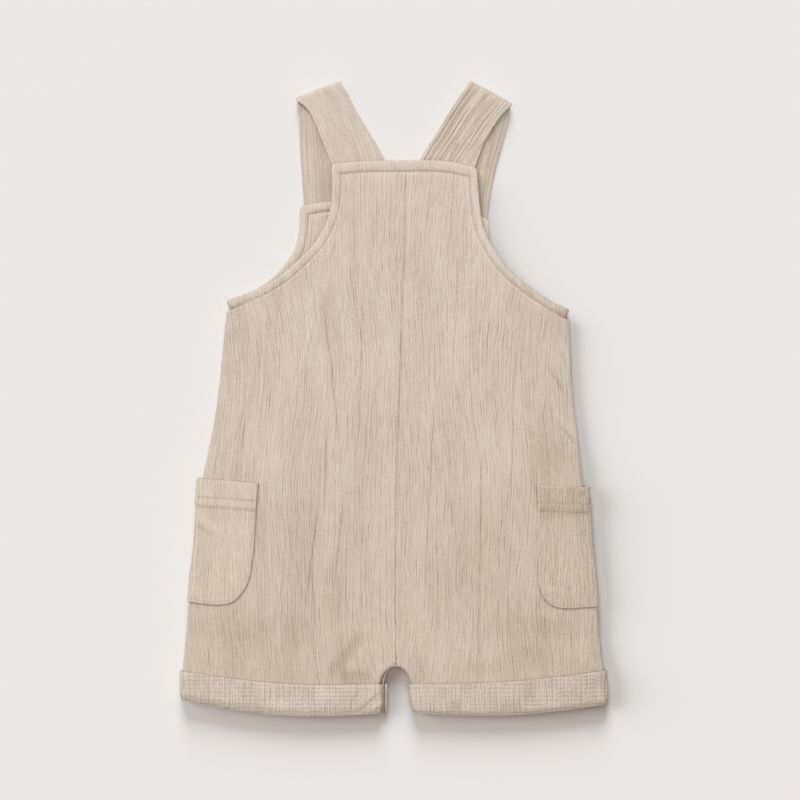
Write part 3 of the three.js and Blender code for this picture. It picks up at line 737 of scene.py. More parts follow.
def make_panel(layer, side, material):
    places = panel_places(layer, side, GRID_MIDDLE[layer], GRID_ROW[layer])
    x, y, drop = places[..., 0], places[..., 1], places[..., 5]
    seam = curve_through(CENTRE_SEAM)
    below_seam = y < seam[0, 1]
    from_seam = np.where(below_seam, 50, np.abs(x - np.interp(y, seam[:, 1], seam[:, 0])))
    calm = 0.25 + 0.75 * smoothstep(np.hypot(x - seam[0, 0], y - seam[0, 1]), 3, 15)
    relief = calm * crinkles(leaning(x, y), y, CLOTH_SEED[layer]) + hand_creases(x, y, PANEL_CREASES)
    relief = (1 - smoothstep(drop, 0, 1.5)) * relief * smoothstep(from_seam, 0.2, 1.6)
    relief += centre_seam_groove(from_seam, y)
    in_bib = np.arange(len(places)) > np.argmax(drop[:, -1] == 0)
    relief += lip_beside_band(places, in_bib)
    tuck = np.zeros_like(x)
    tuck[-2:] = EDGE_TUCK
    tuck[in_bib, -3:] = EDGE_TUCK
    # The tone is the relief less painted shade: the listed darker places and the front's inseam
    tone = relief - shade_at(x, y) - inseam_shade(layer, x, y)
    if layer == "back":
        outer = skin_points(layer, places, relief - tuck)
        inner = skin_points(layer, places, -SHELL)
        # Painted shade along the pocket's sewn edge
        tone -= painted_shade_beside_pocket(side, x, y)
    else:
        outer = skin_points(layer, places, np.minimum(relief - FRONT_CLEARANCE, 0))
        inner = skin_points(layer, places, -SHELL - relief + tuck)
        outer[..., 2] = np.maximum(outer[..., 2], 0)
    grain = grain_of(leaning(x, y), y, CLOTH_SEED[layer])
    return closed_wall(f"{layer}_{side}", outer, inner, grain, tone, material)


# Cuffs, on the leg's own points moved out. Their wrong side shows, with lines across it and rounded edges.
CUFF_HEIGHT = 23.0
CUFF_LINE = 2.96
CUFF_MIDDLE = {"back": 190, "front": 110}
CUFF_ROW = 0.62
CUFF_SEED = {"back": 500, "front": 510}
RIGHT_CUFF_SEED = 20
# How far each cuff rolls down at its foot, and from how high up
CUFF_ROLL = {"left": (1.0, 9.0), "right": (0.7, 6.0)}


def make_cuff(layer, side, material):
    rows = [leg_row(layer, side, row) for row in LEG_ROWS[: CUFF_TOP_ROW + 1]]
    rows = np.stack([row_places(layer, side, row, CUFF_MIDDLE[layer]) for row in rows])
    places = finer_rows(rows, CUFF_ROW)
    up = np.linspace(0, 1, len(places))[:, None]
    places[..., 1] -= CUFF_DROP * (1 - up)
    x, y = places[..., 0], places[..., 1]
    seed = CUFF_SEED[layer] + RIGHT_CUFF_SEED * (side == "right")
    from_foot, from_top = CUFF_HEIGHT * up, CUFF_HEIGHT * (1 - up)
    round_off = np.maximum(bump_of(from_foot, 1.1), 0.8 * bump_of(from_top, 0.8)) * np.ones_like(x)
    waves = 0.2 * smooth_noise(x / 9, y / 9, seed) + 0.26 * pleats(x, y, 2.6, 16, seed + 1)
    waves += 0.1 * pleats(x, y, 4.6, 22, seed + 5)
    level = up * CUFF_HEIGHT + 0.8 * smooth_noise(x / 6, y / 20, seed + 2)
    waves += 0.12 * (np.abs(np.sin(np.pi * level / CUFF_LINE)) ** 0.7 - 0.7)
    waves += hand_creases(x, y, CUFF_CREASES[side])
    roll_depth, roll_reach = CUFF_ROLL[side]
    relief = waves * (1 - round_off) - roll_depth * (1 - smoothstep(from_foot, 0, roll_reach)) ** 2
    outer = skin_points(layer, places, LAY_GAP + CUFF - 0.2 + relief - 0.75 * round_off)
    inner = skin_points(layer, places, LAY_GAP + 0.6 * round_off)
    outer[..., 2] = np.maximum(outer[..., 2], 0)
    tone = relief - inseam_shade(layer, x, y)
    return closed_wall(f"cuff_{layer}_{side}", outer, inner, grain_of(x, y, seed), tone, material)


# Pockets wrap round the side seam. The right one's hem has painted shade, darker than its body.
POCKET_HEM_SHADE = {"left": 0.0, "right": 0.22}
POCKET_SEED = {"left": 600, "right": 620}
POCKET_ROW = 0.6
POCKET_MIDDLE = 52
POCKET_STITCH = 3.0
# How far inside a pocket's edge it is sewn on
RIM_STITCHING = 1.9
# How deep the cloth is drawn in along each row of its hem, and how much deeper at the holes
HEM_DEPTHS = ((0.15, 0.6), (0.2, 0.15))
POCKET_CREASES = {
    "left": [(-147, 150, -130, 137, 2.6, 0.5), (-147, 145, -134, 135, 1.8, -0.25)],
    "right": [(110, 96, 128, 92, 2.4, 0.25)],
}


def pocket_levels(side):
    rows = np.array(POCKETS[side], float)
    y = np.concatenate([np.arange(rows[0, 0], rows[-1, 0] - 0.2, POCKET_ROW), rows[-1:, 0]])
    smooth = curve_through(rows[:, :2])
    reach = np.interp(y, smooth[:, 0], smooth[:, 1])
    flare, rise = (np.interp(y, rows[:, 0], rows[:, k]) for k in (2, 3))
    return zip(y, reach, flare, rise)


# The face that a pocket lies on, as rows from its edge on the back round the fold to its edge on the front:
# x, y, z, normal x, y, z
def pocket_places(side):
    seam_line = curve_through(SIDE_SEAM[side])
    share = np.linspace(1, 0, POCKET_MIDDLE, endpoint=False)[:, None]
    rows = []
    for y, reach, flare, rise in pocket_levels(side):
        corner, way = at_y(seam_line, y)
        out = OUTWARD[side] * right_of(way)
        halves = []
        for layer in ("back", "front"):
            turned = fold_places(layer, corner, out)
            flat = np.repeat(turned[-1:], POCKET_MIDDLE, axis=0)
            flat[:, :1] -= OUTWARD[side] * share * (reach - fold_radius(y))
            flat[:, 1:2] += share * rise
            half = np.vstack([flat, turned[::-1]])
            z = face_height(layer, half[:, 0], half[:, 1]) - FACING[layer] * half[:, 5]
            settled = 1 - smoothstep(np.abs(half[:, 0] - corner[0]), 0, FLARE_REACH)
            half[:, 0] += OUTWARD[side] * flare * settled
            halves.append(np.hstack([half[:, :2], z[:, None], half[:, 2:5]]))
        rows.append(np.vstack([halves[0], halves[1][::-1]]))
    return np.stack(rows)


# How far each place of a pocket's near half lies from the pocket's sewn edge and its mouth
def pocket_edges(grid):
    flat = grid[..., :2]
    half = grid.shape[1] // 2
    rim = np.vstack([flat[::-1, 0], flat[0, :half]])
    return distance_to(flat, rim), grid[-1, :, 1] - grid[..., 1]


def make_pocket(side, material):
    grid = pocket_places(side)
    from_rim, from_mouth = pocket_edges(grid)
    x, y = grid[..., 0], grid[..., 1]
    hem_rows, seed = POCKET_HEM_ROWS[side], POCKET_SEED[side]
    hem_foot = hem_rows[1] + 1
    hem = 1 - smoothstep(from_mouth, hem_foot - 0.6, hem_foot + 0.6)
    body = POCKET + (POCKET_HEM - POCKET) * hem - 0.15
    relief = 0.8 * crinkles(leaning(x, y), y, seed, 16.0)
    relief += 0.3 * pleats(x, y, 2.4, 20, seed + 40) * bump_of(from_mouth - hem_rows[1] - 2, 4)
    holes = stitch_holes(x - grid[-1, 1, 0], POCKET_STITCH)
    for below, (deep, dotted) in zip(hem_rows, HEM_DEPTHS):
        relief -= (deep + dotted * holes) * bump_of(from_mouth - below, 0.6)
    relief += hand_creases(x, y, POCKET_CREASES[side])
    holes = stitch_holes(y - OUTWARD[side] * x, POCKET_STITCH)
    relief -= (0.12 + 0.4 * holes) * bump_of(from_rim - RIM_STITCHING, 0.6)
    relief += 0.4 * bump_of(from_rim - 1.0, 0.6)
    round_off = np.maximum(bump_of(from_rim, 0.8), 0.9 * bump_of(from_mouth, 0.6))
    normal = unit(grid[..., 3:6])
    outer = grid[..., :3] + normal * (LAY_GAP + body + relief - 0.8 * round_off)[..., None]
    inner = grid[..., :3] + normal * (LAY_GAP - 0.2)
    outer[..., 2] = np.maximum(outer[..., 2], 0)
    # Painted shade on the right pocket's hem
    shade = POCKET_HEM_SHADE[side] * (1 - smoothstep(from_mouth, hem_foot - 2, hem_foot + 8))
    shade *= smoothstep(from_rim, -1, 4) * smoothstep(from_mouth, -1, 3)
    grain = grain_of(leaning(x, y), y, seed)
    return closed_wall(f"pocket_{side}", outer, inner, grain, relief - shade, material)


# Bands: the bibs' and armholes' turned edges
BAND_STITCH_ACROSS = 0.87
BAND_STITCH = 2.4
BAND_AROUND = 46
BAND_SQUARENESS = 0.8
BAND_STEPS = {"back": 290, "front": 150}
BAND_SEED = {"back": 700, "front": 740}
# The band's lowest face, measured as its top is
BAND_FOOT = {"back": -1.4, "front": 0.05}
BAND_LIFT = {"back": 0.0, "front": 1.6}
# Painted shade: the right armhole's band is darker than the left one's
BAND_SHADE = 0.2


# Matching outer and inner points of a whole edge, with rounded corners, and whether each is on the bib's top
def band_run(layer):
    steps = dict.fromkeys(("left", "top", "right"), BAND_STEPS[layer])
    outer = edge_lines(layer, 0.0, steps)
    inner = edge_lines(layer, BAND_WIDTH, steps)
    line_out = [outer["left"]]
    line_in = [inner["left"]]
    for before, after in (("left", "top"), ("top", "right")):
        corner, mitre = outer[before][-1], inner[before][-1]
        kept = np.linalg.norm(line_out[-1] - corner, axis=1) > CORNER_ROUND
        line_out[-1], line_in[-1] = line_out[-1][kept], line_in[-1][kept]
        coming = np.linalg.norm(outer[after] - corner, axis=1) > CORNER_ROUND
        start, finish = line_out[-1][-1], outer[after][coming][0]
        t = np.linspace(0, 1, 11)[1:-1, None]
        rounded = (1 - t) ** 2 * start + 2 * t * (1 - t) * corner + t**2 * finish
        line_out += [rounded, outer[after][coming]]
        line_in += [mitre + (t - 0.5) * 0.05 * (finish - start), inner[after][coming]]
    shares = (0, 0.5, 1, 0.5, 0)
    on_top = np.concatenate([np.full(len(part), share) for part, share in zip(line_out, shares)])
    return np.vstack(line_out), np.vstack(line_in), on_top


# Height of the band's upper face above its panel's plain height, by its share across. It rolls down into the
# topstitching and goes under the panel's face past it. The bib's top is fuller than the armholes.
def band_top(across, run, on_top, seed):
    rim = np.abs(np.sin(np.pi * np.clip(across, 0, 0.5))) ** 0.5
    foot = BAND_STITCH_ACROSS + 0.04
    roll = BAND_PUFF * (0.85 + 0.15 * on_top) * rim * (1 - smoothstep(across, 0.12, foot))
    groove = bump_of((across - BAND_STITCH_ACROSS) * BAND_WIDTH, 0.5) * (0.8 + 0.2 * on_top)
    groove = groove * (0.25 + 0.5 * stitch_holes(run, BAND_STITCH))
    bumps = 0.1 * smooth_noise(run / 4.5, across * 1.5, seed)
    bumps += 0.07 * smooth_noise(run / 1.9, across * 1.2, seed + 1)
    bumps *= 1.7 - 0.7 * on_top
    return 0.12 + roll + bumps * rim - groove - 0.7 * smoothstep(across, foot, 1)


def band_frame(layer):
    outer, inner, on_top = band_run(layer)
    run = run_lengths((outer + inner) / 2)
    turn = np.tile(UP, (len(outer), 1))
    drop = np.zeros(len(outer))
    for end, out in ((0, unit(outer[0] - outer[4])), (-1, unit(outer[-1] - outer[-5]))):
        radius = fold_radius(outer[end][1])
        reach = np.clip((outer[end] - outer) @ out, 0, radius)
        near = np.linalg.norm(outer - outer[end], axis=1) < 2 * radius
        cosine = np.where(near, 1 - reach / radius, 0)
        sine = np.sqrt(1 - cosine**2)
        turn += np.hstack([cosine[:, None] * out * FACING[layer], (sine - 1)[:, None]])
        drop += radius * (1 - sine)
    return outer, inner, run, unit(turn), drop, on_top


def band_point(layer, band, rows, across, height):
    outer, inner, _, turn, drop, _ = band
    flat = outer[rows] + (inner[rows] - outer[rows]) * across[..., None]
    z = face_height(layer, flat[..., 0], flat[..., 1]) - FACING[layer] * drop[rows]
    base = np.concatenate([flat, z[..., None]], axis=-1)
    return base + turn[rows] * height[..., None]


# Angles round a closed loop, and how far across a loop with squared-off sides each of them comes
def loop_across(around, squareness):
    angle = np.linspace(0, 2 * np.pi, around, endpoint=False) + np.pi / around
    return angle, 0.5 - 0.5 * np.sign(np.cos(angle)) * np.abs(np.cos(angle)) ** squareness


def make_band(layer, material):
    band = band_frame(layer)
    outer, run, on_top = band[0], band[2], band[5]
    angle, across = loop_across(BAND_AROUND, BAND_SQUARENESS)
    rows = np.arange(len(outer))[:, None] * np.ones((1, BAND_AROUND), int)
    across = np.tile(across, (len(outer), 1))
    lift, foot = BAND_LIFT[layer], BAND_FOOT[layer]
    top = lift + band_top(across, run[:, None], on_top[:, None], BAND_SEED[layer])
    rim = np.abs(np.sin(angle)) ** 0.5
    middle = (lift + foot) / 2
    height = middle + (np.where(np.sin(angle) > 0, top, foot) - middle) * rim
    loops = band_point(layer, band, rows, across, height)
    x, y = loops[..., 0], loops[..., 1]
    # The tone carries painted shade towards the right armhole
    relief = top - lift - 0.25 - BAND_SHADE * smoothstep(x, 50, 100)
    grain = grain_of(x, y, CLOTH_SEED[layer])
    return closed_tube(f"band_{layer}", loops, grain, relief, material)


# Straps
# Lengthwise lines on the upper run: place across, where they start and stop, width and height
STRAP_LINES = {
    "left": [
        (19, 8, 45, 0.9, -0.16), (23, 6, 38, 0.8, -0.2), (27, 8, 50, 0.9, -0.18), (13, 5, 30, 0.9, -0.12),
        (8, 20, 62, 1.0, -0.1), (30.5, 6, 62, 0.8, -0.14),
    ],
    "right": [
        (3.6, 4, 74, 0.6, -0.8), (7.6, 6, 74, 0.6, -0.9), (11.4, 4, 60, 0.55, -0.7),
        (15.2, 8, 74, 0.65, -1), (19.4, 6, 72, 0.6, -0.9), (23.4, 4, 74, 0.6, -0.9),
        (27.2, 8, 70, 0.6, -0.8), (30.6, 4, 60, 0.5, -0.6),
    ],
}
STRAP_SEED = {"left": 800, "right": 840}
STRAP_CRINKLE = {"left": 0.9, "right": 2.0}
STRAP_UNDER_CRINKLE = 2.8
# Painted shade on each strap's lower run, which lies under its upper run
STRAP_UNDER_SHADE = 0.2
STRAP_AROUND = 150
STRAP_ROW = 1.1
STRAP_SQUARENESS = 0.62
STRAP_ROUNDING = 0.42
STRAP_SWAY = 0.8
# Half the thickness of the cloth itself, on which the crinkle stands, and how far in from its west edge it is
# thickest, by a trace
STRAP_HALF = STRAP / 2 - 0.1
STRAP_SWELL = {"left": 0.4, "right": 0.25}
# The grain of a strap's lower face is read this much further across, so that it differs from the upper one's
STRAP_FAR_FACE = 300


def strap_rows(side):
    edges = {}
    for run in ("over", "under"):
        table = np.array(STRAPS[side][run], float)
        west, east = curve_through(table[:, :3]), curve_through(table[:, 3:])
        length = run_lengths((west + east) / 2)[-1]
        pick = np.linspace(0, len(west) - 1, int(length / STRAP_ROW))
        low = np.floor(pick).astype(int)
        high = np.minimum(low + 1, len(west) - 1)
        share = (pick - low)[:, None]
        edges[run] = [line[low] * (1 - share) + line[high] * share for line in (west, east)]
    top_west, top_east = (line[-1] for line in edges["over"])
    radius = (top_west[2] - edges["under"][0][0][2]) / 2
    away = right_of((top_west - top_east)[:2])
    angle = np.linspace(0, np.pi, 12)[1:-1, None]
    shift = np.hstack([away * radius * np.sin(angle), -radius * (1 - np.cos(angle))])
    return [
        np.vstack([edges["over"][k], edge_top + shift, edges["under"][k]])
        for k, edge_top in ((0, top_west), (1, top_east))
    ]


def make_strap(side, material):
    west, east = strap_rows(side)
    middle = (west + east) / 2
    run = run_lengths(middle)
    normal = unit(np.cross(east - west, np.gradient(middle, axis=0)))
    angle, across = loop_across(STRAP_AROUND, STRAP_SQUARENESS)
    rim = np.abs(np.sin(angle)) ** STRAP_ROUNDING
    seed = STRAP_SEED[side]
    u = across * np.linalg.norm(east - west, axis=1)[:, None]
    v = run[:, None] * np.ones_like(u)
    face = np.where(np.sin(angle) > 0, 0, STRAP_FAR_FACE)
    shoulder = run[np.argmax(middle[:, 1])]
    below = smoothstep(v, shoulder - 2, shoulder + 6)
    depth = STRAP_CRINKLE[side] * (1 - below) + STRAP_UNDER_CRINKLE * below
    relief = depth * crinkles(u + face, v, seed, 60.0)
    sway = STRAP_SWAY * smooth_noise(v / 22, u / 30, seed + 7)
    for line, start, stop, width, rise in STRAP_LINES[side]:
        reach = smoothstep(v, start - 8, start + 4) * (1 - smoothstep(v, stop - 6, stop + 2))
        relief += rise * reach * bump_of(u + sway - line, width) * (face == 0)
    swell = STRAP_SWELL[side]
    half = STRAP_HALF + 0.12 * bump_of(np.abs(u - swell) + 2 - swell, 1.6)
    height = (half + relief) * rim * np.sign(np.sin(angle))
    loops = west[:, None] + (east - west)[:, None] * across[None, :, None]
    loops = loops + normal[:, None] * height[..., None]
    loops[..., 2] = np.maximum(loops[..., 2], 0)
    # The tone darkens the lower run with painted shade
    tone = relief * rim - STRAP_UNDER_SHADE * below
    return closed_tube(f"strap_{side}", loops, grain_of(u + face, v, seed), tone, material)


# Thread. Each stitch is a small bead with tapered ends, a little uneven in length and lie.
THREAD = 0.42
BEAD_AROUND = 6
# Where along a stitch its loops are, as shares of its length, and how thick each is
BEAD_LOOPS = [(-0.5, 0.35), (-0.3, 0.9), (0, 1), (0.3, 0.9), (0.5, 0.35)]


def bead_faces(first):
    faces = []
    for base in range(first, first + (len(BEAD_LOOPS) - 1) * BEAD_AROUND, BEAD_AROUND):
        for k in range(BEAD_AROUND):
            a, b = base + k, base + (k + 1) % BEAD_AROUND
            faces.append((a, b, b + BEAD_AROUND, a + BEAD_AROUND))
    for loop, step in ((0, -1), (len(BEAD_LOOPS) - 1, 1)):
        for quad in ((0, 1, 2, 3), (0, 3, 4, 5)):
            faces.append(tuple(first + loop * BEAD_AROUND + k for k in quad[::step]))
    return faces


def make_stitches(name, rows, material, pitch, length, seed):
    rng = np.random.default_rng(seed)
    ring = np.linspace(0, 2 * np.pi, BEAD_AROUND, endpoint=False)[:, None]
    loops, faces = [], []
    for line, ups in rows:
        lengths = run_lengths(line)
        for at in np.arange(pitch / 2, lengths[-1], pitch):
            at = at + rng.uniform(-0.1, 0.1)
            long = length * rng.uniform(0.88, 1.1)
            behind, centre, ahead = (at_lengths(line, lengths, at + step) for step in (-0.6, 0, 0.6))
            up = unit(at_lengths(ups, lengths, at))
            way = unit(ahead - behind)
            side = unit(np.cross(up, way))
            faces += bead_faces(len(loops) * BEAD_AROUND)
            for share, size in BEAD_LOOPS:
                middle = centre + way * long * share - up * 0.25 * THREAD * abs(share) * 2
                loops.append(middle + THREAD / 2 * size * (np.cos(ring) * side + np.sin(ring) * up))
    points = np.vstack(loops)
    return new_mesh(name, points, faces, points, np.zeros(len(points)), material)


def band_stitch_row(layer):
    band = band_frame(layer)
    run = band[2]
    across = np.full(len(run), BAND_STITCH_ACROSS)
    top = BAND_LIFT[layer] + 0.05
    line = band_point(layer, band, np.arange(len(run)), across, np.full(len(run), top))
    return line, band[3]


# A row of stitches on a pocket, sunk into its cloth
def on_pocket(side, points):
    x, y = points[:, 0], points[:, 1]
    mouth, hem_foot = POCKETS[side][-1][0], POCKET_HEM_ROWS[side][1]
    hem = 1 - smoothstep(mouth - y, hem_foot, hem_foot + 1.2)
    z = face_height("back", x, y) + LAY_GAP + POCKET - 0.15 + (POCKET_HEM - POCKET) * hem - 0.18
    line = np.column_stack([x, y, z])
    return line, np.tile(UP, (len(line), 1))


def pocket_stitch_rows(side):
    grid = pocket_places(side)
    flat = grid.shape[1] // 2 - FOLD_STEPS - 1
    mouth = grid[-1, 1:flat, :2]
    rows = [on_pocket(side, mouth - np.array([0, below])) for below in POCKET_HEM_ROWS[side]]
    rim = np.vstack([grid[::-1, 0, :2], grid[0, 1:flat, :2]])
    smooth = along_line(rim, np.linspace(0, 1, 160))
    square = right_of(np.gradient(smooth, axis=0))
    square *= np.sign(square @ np.array([OUTWARD[side], 1.0]))[:, None]
    rows.append(on_pocket(side, smooth + square * RIM_STITCHING))
    return rows


# Shading. Every length in the materials is in millimetres, read from the grain of each piece.
# Noise is mostly between these
NOISE_SPAN = (0.25, 0.75)
LINE_WANDER = 6.0
FINE_PITCH = 1.75
WIDE_PITCH = 2.9
CREASE_PITCH = 5.3
COTTON_BUMP = 0.34
COTTON_ROUGHNESS = 0.92
CUFF_FINE_PITCH = 2.0
CUFF_WIDE_PITCH = 3.7
CUFF_BUMP = 0.3
CUFF_ROUGHNESS = 0.94
CLOTH_SHEEN = 0.08


class Nodes:
    def __init__(self, name):
        self.material = bpy.data.materials.new(name)
        self.material.use_nodes = True
        self.tree = self.material.node_tree
        self.tree.nodes.clear()

    def fill(self, socket, value):
        if isinstance(value, bpy.types.NodeSocket):
            self.tree.links.new(value, socket)
        else:
            socket.default_value = value

    def node(self, kind, inputs=(), **settings):
        node = self.tree.nodes.new(kind)
        for key, value in settings.items():
            setattr(node, key, value)
        for key, value in dict(inputs).items():
            self.fill(node.inputs[key], value)
        return node

    def maths(self, operation, a, b=0.0):
        return self.node("ShaderNodeMath", {0: a, 1: b}, operation=operation).outputs[0]

    def add(self, *values):
        total = values[0]
        for value in values[1:]:
            total = self.maths("ADD", total, value)
        return total

    # The sum of values, each times its weight
    def weighted(self, *terms):
        return self.add(*(self.maths("MULTIPLY", value, weight) for value, weight in terms))

    # The grain's x, y and z, and the relief, which also carries painted shade
    def cloth(self):
        grain = self.node("ShaderNodeAttribute", attribute_name="grain").outputs["Vector"]
        parts = self.node("ShaderNodeSeparateXYZ", {0: grain}).outputs
        relief = self.node("ShaderNodeAttribute", attribute_name="relief").outputs["Fac"]
        return parts[0], parts[1], parts[2], relief

    # Noise whose cells have a size of their own along x and along y
    def noise(self, x, y, z, cell, detail=2.0, roughness=0.5):
        across = self.maths("DIVIDE", x, cell[0])
        along = self.maths("DIVIDE", y, cell[1])
        place = self.node("ShaderNodeCombineXYZ", {"X": across, "Y": along, "Z": z}).outputs[0]
        inputs = {"Vector": place, "Scale": 1.0, "Detail": detail, "Roughness": roughness}
        return self.node("ShaderNodeTexNoise", inputs, noise_dimensions="3D").outputs["Fac"]

    def ramp(self, value, low, high, low_out=0.0, high_out=1.0):
        inputs = {"Value": value, "From Min": low, "From Max": high, "To Min": low_out, "To Max": high_out}
        return self.node("ShaderNodeMapRange", inputs, interpolation_type="SMOOTHSTEP").outputs[0]

    def mix(self, share, a, b):
        return self.node("ShaderNodeMix", {0: share, 6: a, 7: b}, data_type="RGBA").outputs[2]

    # The shader and its bump; every constant is set on the shader's own sockets
    def finish(self, colour, height, bump_distance, roughness, sheen):
        inputs = {"Height": height, "Strength": 1.0, "Distance": bump_distance * MILLIMETRE}
        looks = {
            "Base Color": colour,
            "Roughness": roughness,
            "Sheen Weight": sheen,
            "Sheen Roughness": 0.6,
            "Specular IOR Level": 0.25,
            "Normal": self.node("ShaderNodeBump", inputs).outputs[0],
        }
        shader = self.node("ShaderNodeBsdfPrincipled", looks)
        self.node("ShaderNodeOutputMaterial", {"Surface": shader.outputs[0]})
        return self.material


def rgb(red, green, blue):
    return (red, green, blue, 1.0)


def tinted(colour, tint):
    return rgb(*(channel * share for channel, share in zip(colour, tint)))


# Waves along the grain's y that wander a little: 0 in each valley and 1 on each ridge
def wandering_wave(nodes, x, y, z, pitch, length):
    sway = nodes.noise(x, y, z, (3 * pitch, length), 1.0)
    phase = nodes.weighted((x, math.pi / pitch), (sway, LINE_WANDER))
    return nodes.maths("ABSOLUTE", nodes.maths("SINE", phase))


# A height or tone that is kept where the share is 1 and goes up to 1 where it is 0
def faded(nodes, value, share):
    short = nodes.maths("SUBTRACT", 1.0, value)
    return nodes.maths("SUBTRACT", 1.0, nodes.maths("MULTIPLY", short, share))


# Nearly regular ridges with narrow valleys between them
def ridge_lines(nodes, x, y, z, pitch, length):
    wave = wandering_wave(nodes, x, y, z, pitch, length)
    where = nodes.noise(x, y, nodes.add(z, 7.0), (2 * pitch, 0.6 * length), 1.0)
    return faded(nodes, wave, nodes.ramp(where, 0.25, 0.62, 0.55, 1.0))


# Single thin creases, here and there
def thin_lines(nodes, x, y, z, pitch, length):
    wave = wandering_wave(nodes, x, y, nodes.add(z, 11.0), pitch, 2.0 * length)
    where = nodes.noise(x, y, nodes.add(z, 17.0), (1.5 * pitch, 1.3 * length), 1.0)
    return faded(nodes, nodes.ramp(wave, 0.0, 0.17), nodes.ramp(where, 0.48, 0.64))


# The cotton's colour on its ridges and in its valleys at the shoulders, and its share of that at the hems.
# The darker valley colour is painted shade and random mottling; the duller hems are painted shade.
COTTON_LIGHT = rgb(0.732, 0.635, 0.546)
COTTON_DARK = rgb(0.435, 0.337, 0.255)
HEM_SHADE_TINT = (0.915, 0.905, 0.88)
NO_TINT = (1.0, 1.0, 1.0)
# The cuffs' wrong side, whose darker colour is painted shade in its grooves, and the sewing thread
WRONG_LIGHT = rgb(0.72, 0.625, 0.54)
WRONG_DARK = rgb(0.41, 0.33, 0.26)
THREAD_LIGHT = rgb(0.74, 0.64, 0.54)
THREAD_SHADE = rgb(0.54, 0.45, 0.36)


# depth and thin say how strong the ridges and the thin creases are, and the far shade how much painted shade
# darkens the cloth at the garment's right side
def crinkled_cotton(name, depth=1.0, length=24.0, thin=1.0, tint=1.0, low_shade_tint=HEM_SHADE_TINT, far_shade=0.1):
    nodes = Nodes(name)
    x, y, z, relief = nodes.cloth()
    fine = ridge_lines(nodes, x, y, z, FINE_PITCH, length)
    wide = ridge_lines(nodes, x, y, nodes.add(z, 5.0), WIDE_PITCH, 1.3 * length)
    creases = thin_lines(nodes, x, y, z, CREASE_PITCH, 0.8 * length)
    fuzz = nodes.noise(x, y, z, (1.0, 1.7), 3.0, 0.75)
    mottle = nodes.noise(x, y, z, (3.5, 9.0))
    patch = nodes.noise(x, y, z, (16.0, 80.0))
    height = nodes.weighted((fine, 0.6 * depth), (wide, 0.5 * depth), (creases, 0.45 * thin), (fuzz, 1.3))
    # The tone: painted shade in the ridges' valleys, the thin creases and where the relief is low, with
    # random mottling
    tone = nodes.add(
        nodes.weighted((fine, 0.25 * depth), (wide, 0.16 * depth), (creases, 0.2 * thin)),
        nodes.ramp(relief, -0.4, 0.2, 0.0, 0.32),
        nodes.ramp(mottle, *NOISE_SPAN, -0.04, 0.08),
        nodes.ramp(patch, *NOISE_SPAN, -0.03, 0.15),
        nodes.ramp(fuzz, *NOISE_SPAN, 0.0, 0.35),
        0.4 * (1 - depth) + 0.2 * (1 - thin),
    )
    # Painted shade, darker towards the garment's right side
    tone = nodes.maths("SUBTRACT", tone, nodes.ramp(x, 50.0, 150.0, 0.0, far_shade))
    tone = nodes.ramp(tone, 0.3, 1.35)
    high = [tinted(colour, (tint, tint, tint)) for colour in (COTTON_DARK, COTTON_LIGHT)]
    low = [tinted(colour, low_shade_tint) for colour in high]
    # Painted shade: the cloth grows darker from the shoulders down towards the hems
    colour = nodes.mix(nodes.ramp(y, 35.0, 320.0), nodes.mix(tone, *low), nodes.mix(tone, *high))
    return nodes.finish(colour, height, COTTON_BUMP, COTTON_ROUGHNESS, CLOTH_SHEEN)


def gridded_wrong_side(name):
    nodes = Nodes(name)
    x, y, z, relief = nodes.cloth()
    upright = ridge_lines(nodes, x, y, z, CUFF_FINE_PITCH, 20.0)
    wide = ridge_lines(nodes, x, y, nodes.add(z, 5.0), CUFF_WIDE_PITCH, 24.0)
    sway = nodes.noise(x, y, z, (8.0, 20.0), 1.0)
    level = nodes.maths("MULTIPLY", nodes.add(y, nodes.maths("MULTIPLY", sway, 2.4)), math.pi / CUFF_LINE)
    across = nodes.ramp(nodes.maths("ABSOLUTE", nodes.maths("SINE", level)), 0.0, 0.7)
    breaks = nodes.noise(x, y, z, (2.6, 1.8), 1.0)
    across = faded(nodes, across, nodes.ramp(breaks, 0.68, 0.36))
    fuzz = nodes.noise(x, y, z, (0.9, 0.9), 3.0, 0.75)
    height = nodes.weighted((upright, 0.8), (wide, 0.4), (across, 0.6), (fuzz, 0.9))
    # The tone: painted shade in the grooves of its lines and where the relief is low, with random fuzz
    tone = nodes.add(
        nodes.weighted((upright, 0.26), (wide, 0.14), (across, 0.26)),
        nodes.ramp(relief, -0.4, 0.3, 0.0, 0.32),
        nodes.ramp(fuzz, *NOISE_SPAN, 0.0, 0.22),
    )
    # Painted shade, darker towards the right cuff
    tone = nodes.maths("SUBTRACT", tone, nodes.ramp(x, 0.0, 60.0, 0.0, 0.12))
    colour = nodes.mix(nodes.ramp(tone, 0.22, 1.17), WRONG_DARK, WRONG_LIGHT)
    return nodes.finish(colour, height, CUFF_BUMP, CUFF_ROUGHNESS, CLOTH_SHEEN)


def thread_material(name):
    nodes = Nodes(name)
    x, y, _, _ = nodes.cloth()
    twist = nodes.weighted((x, 9.0), (y, 12.0))
    ply = nodes.ramp(nodes.maths("SINE", twist), -1.0, 1.0)
    return nodes.finish(nodes.mix(ply, THREAD_SHADE, THREAD_LIGHT), ply, 0.05, 0.7, 0.1)


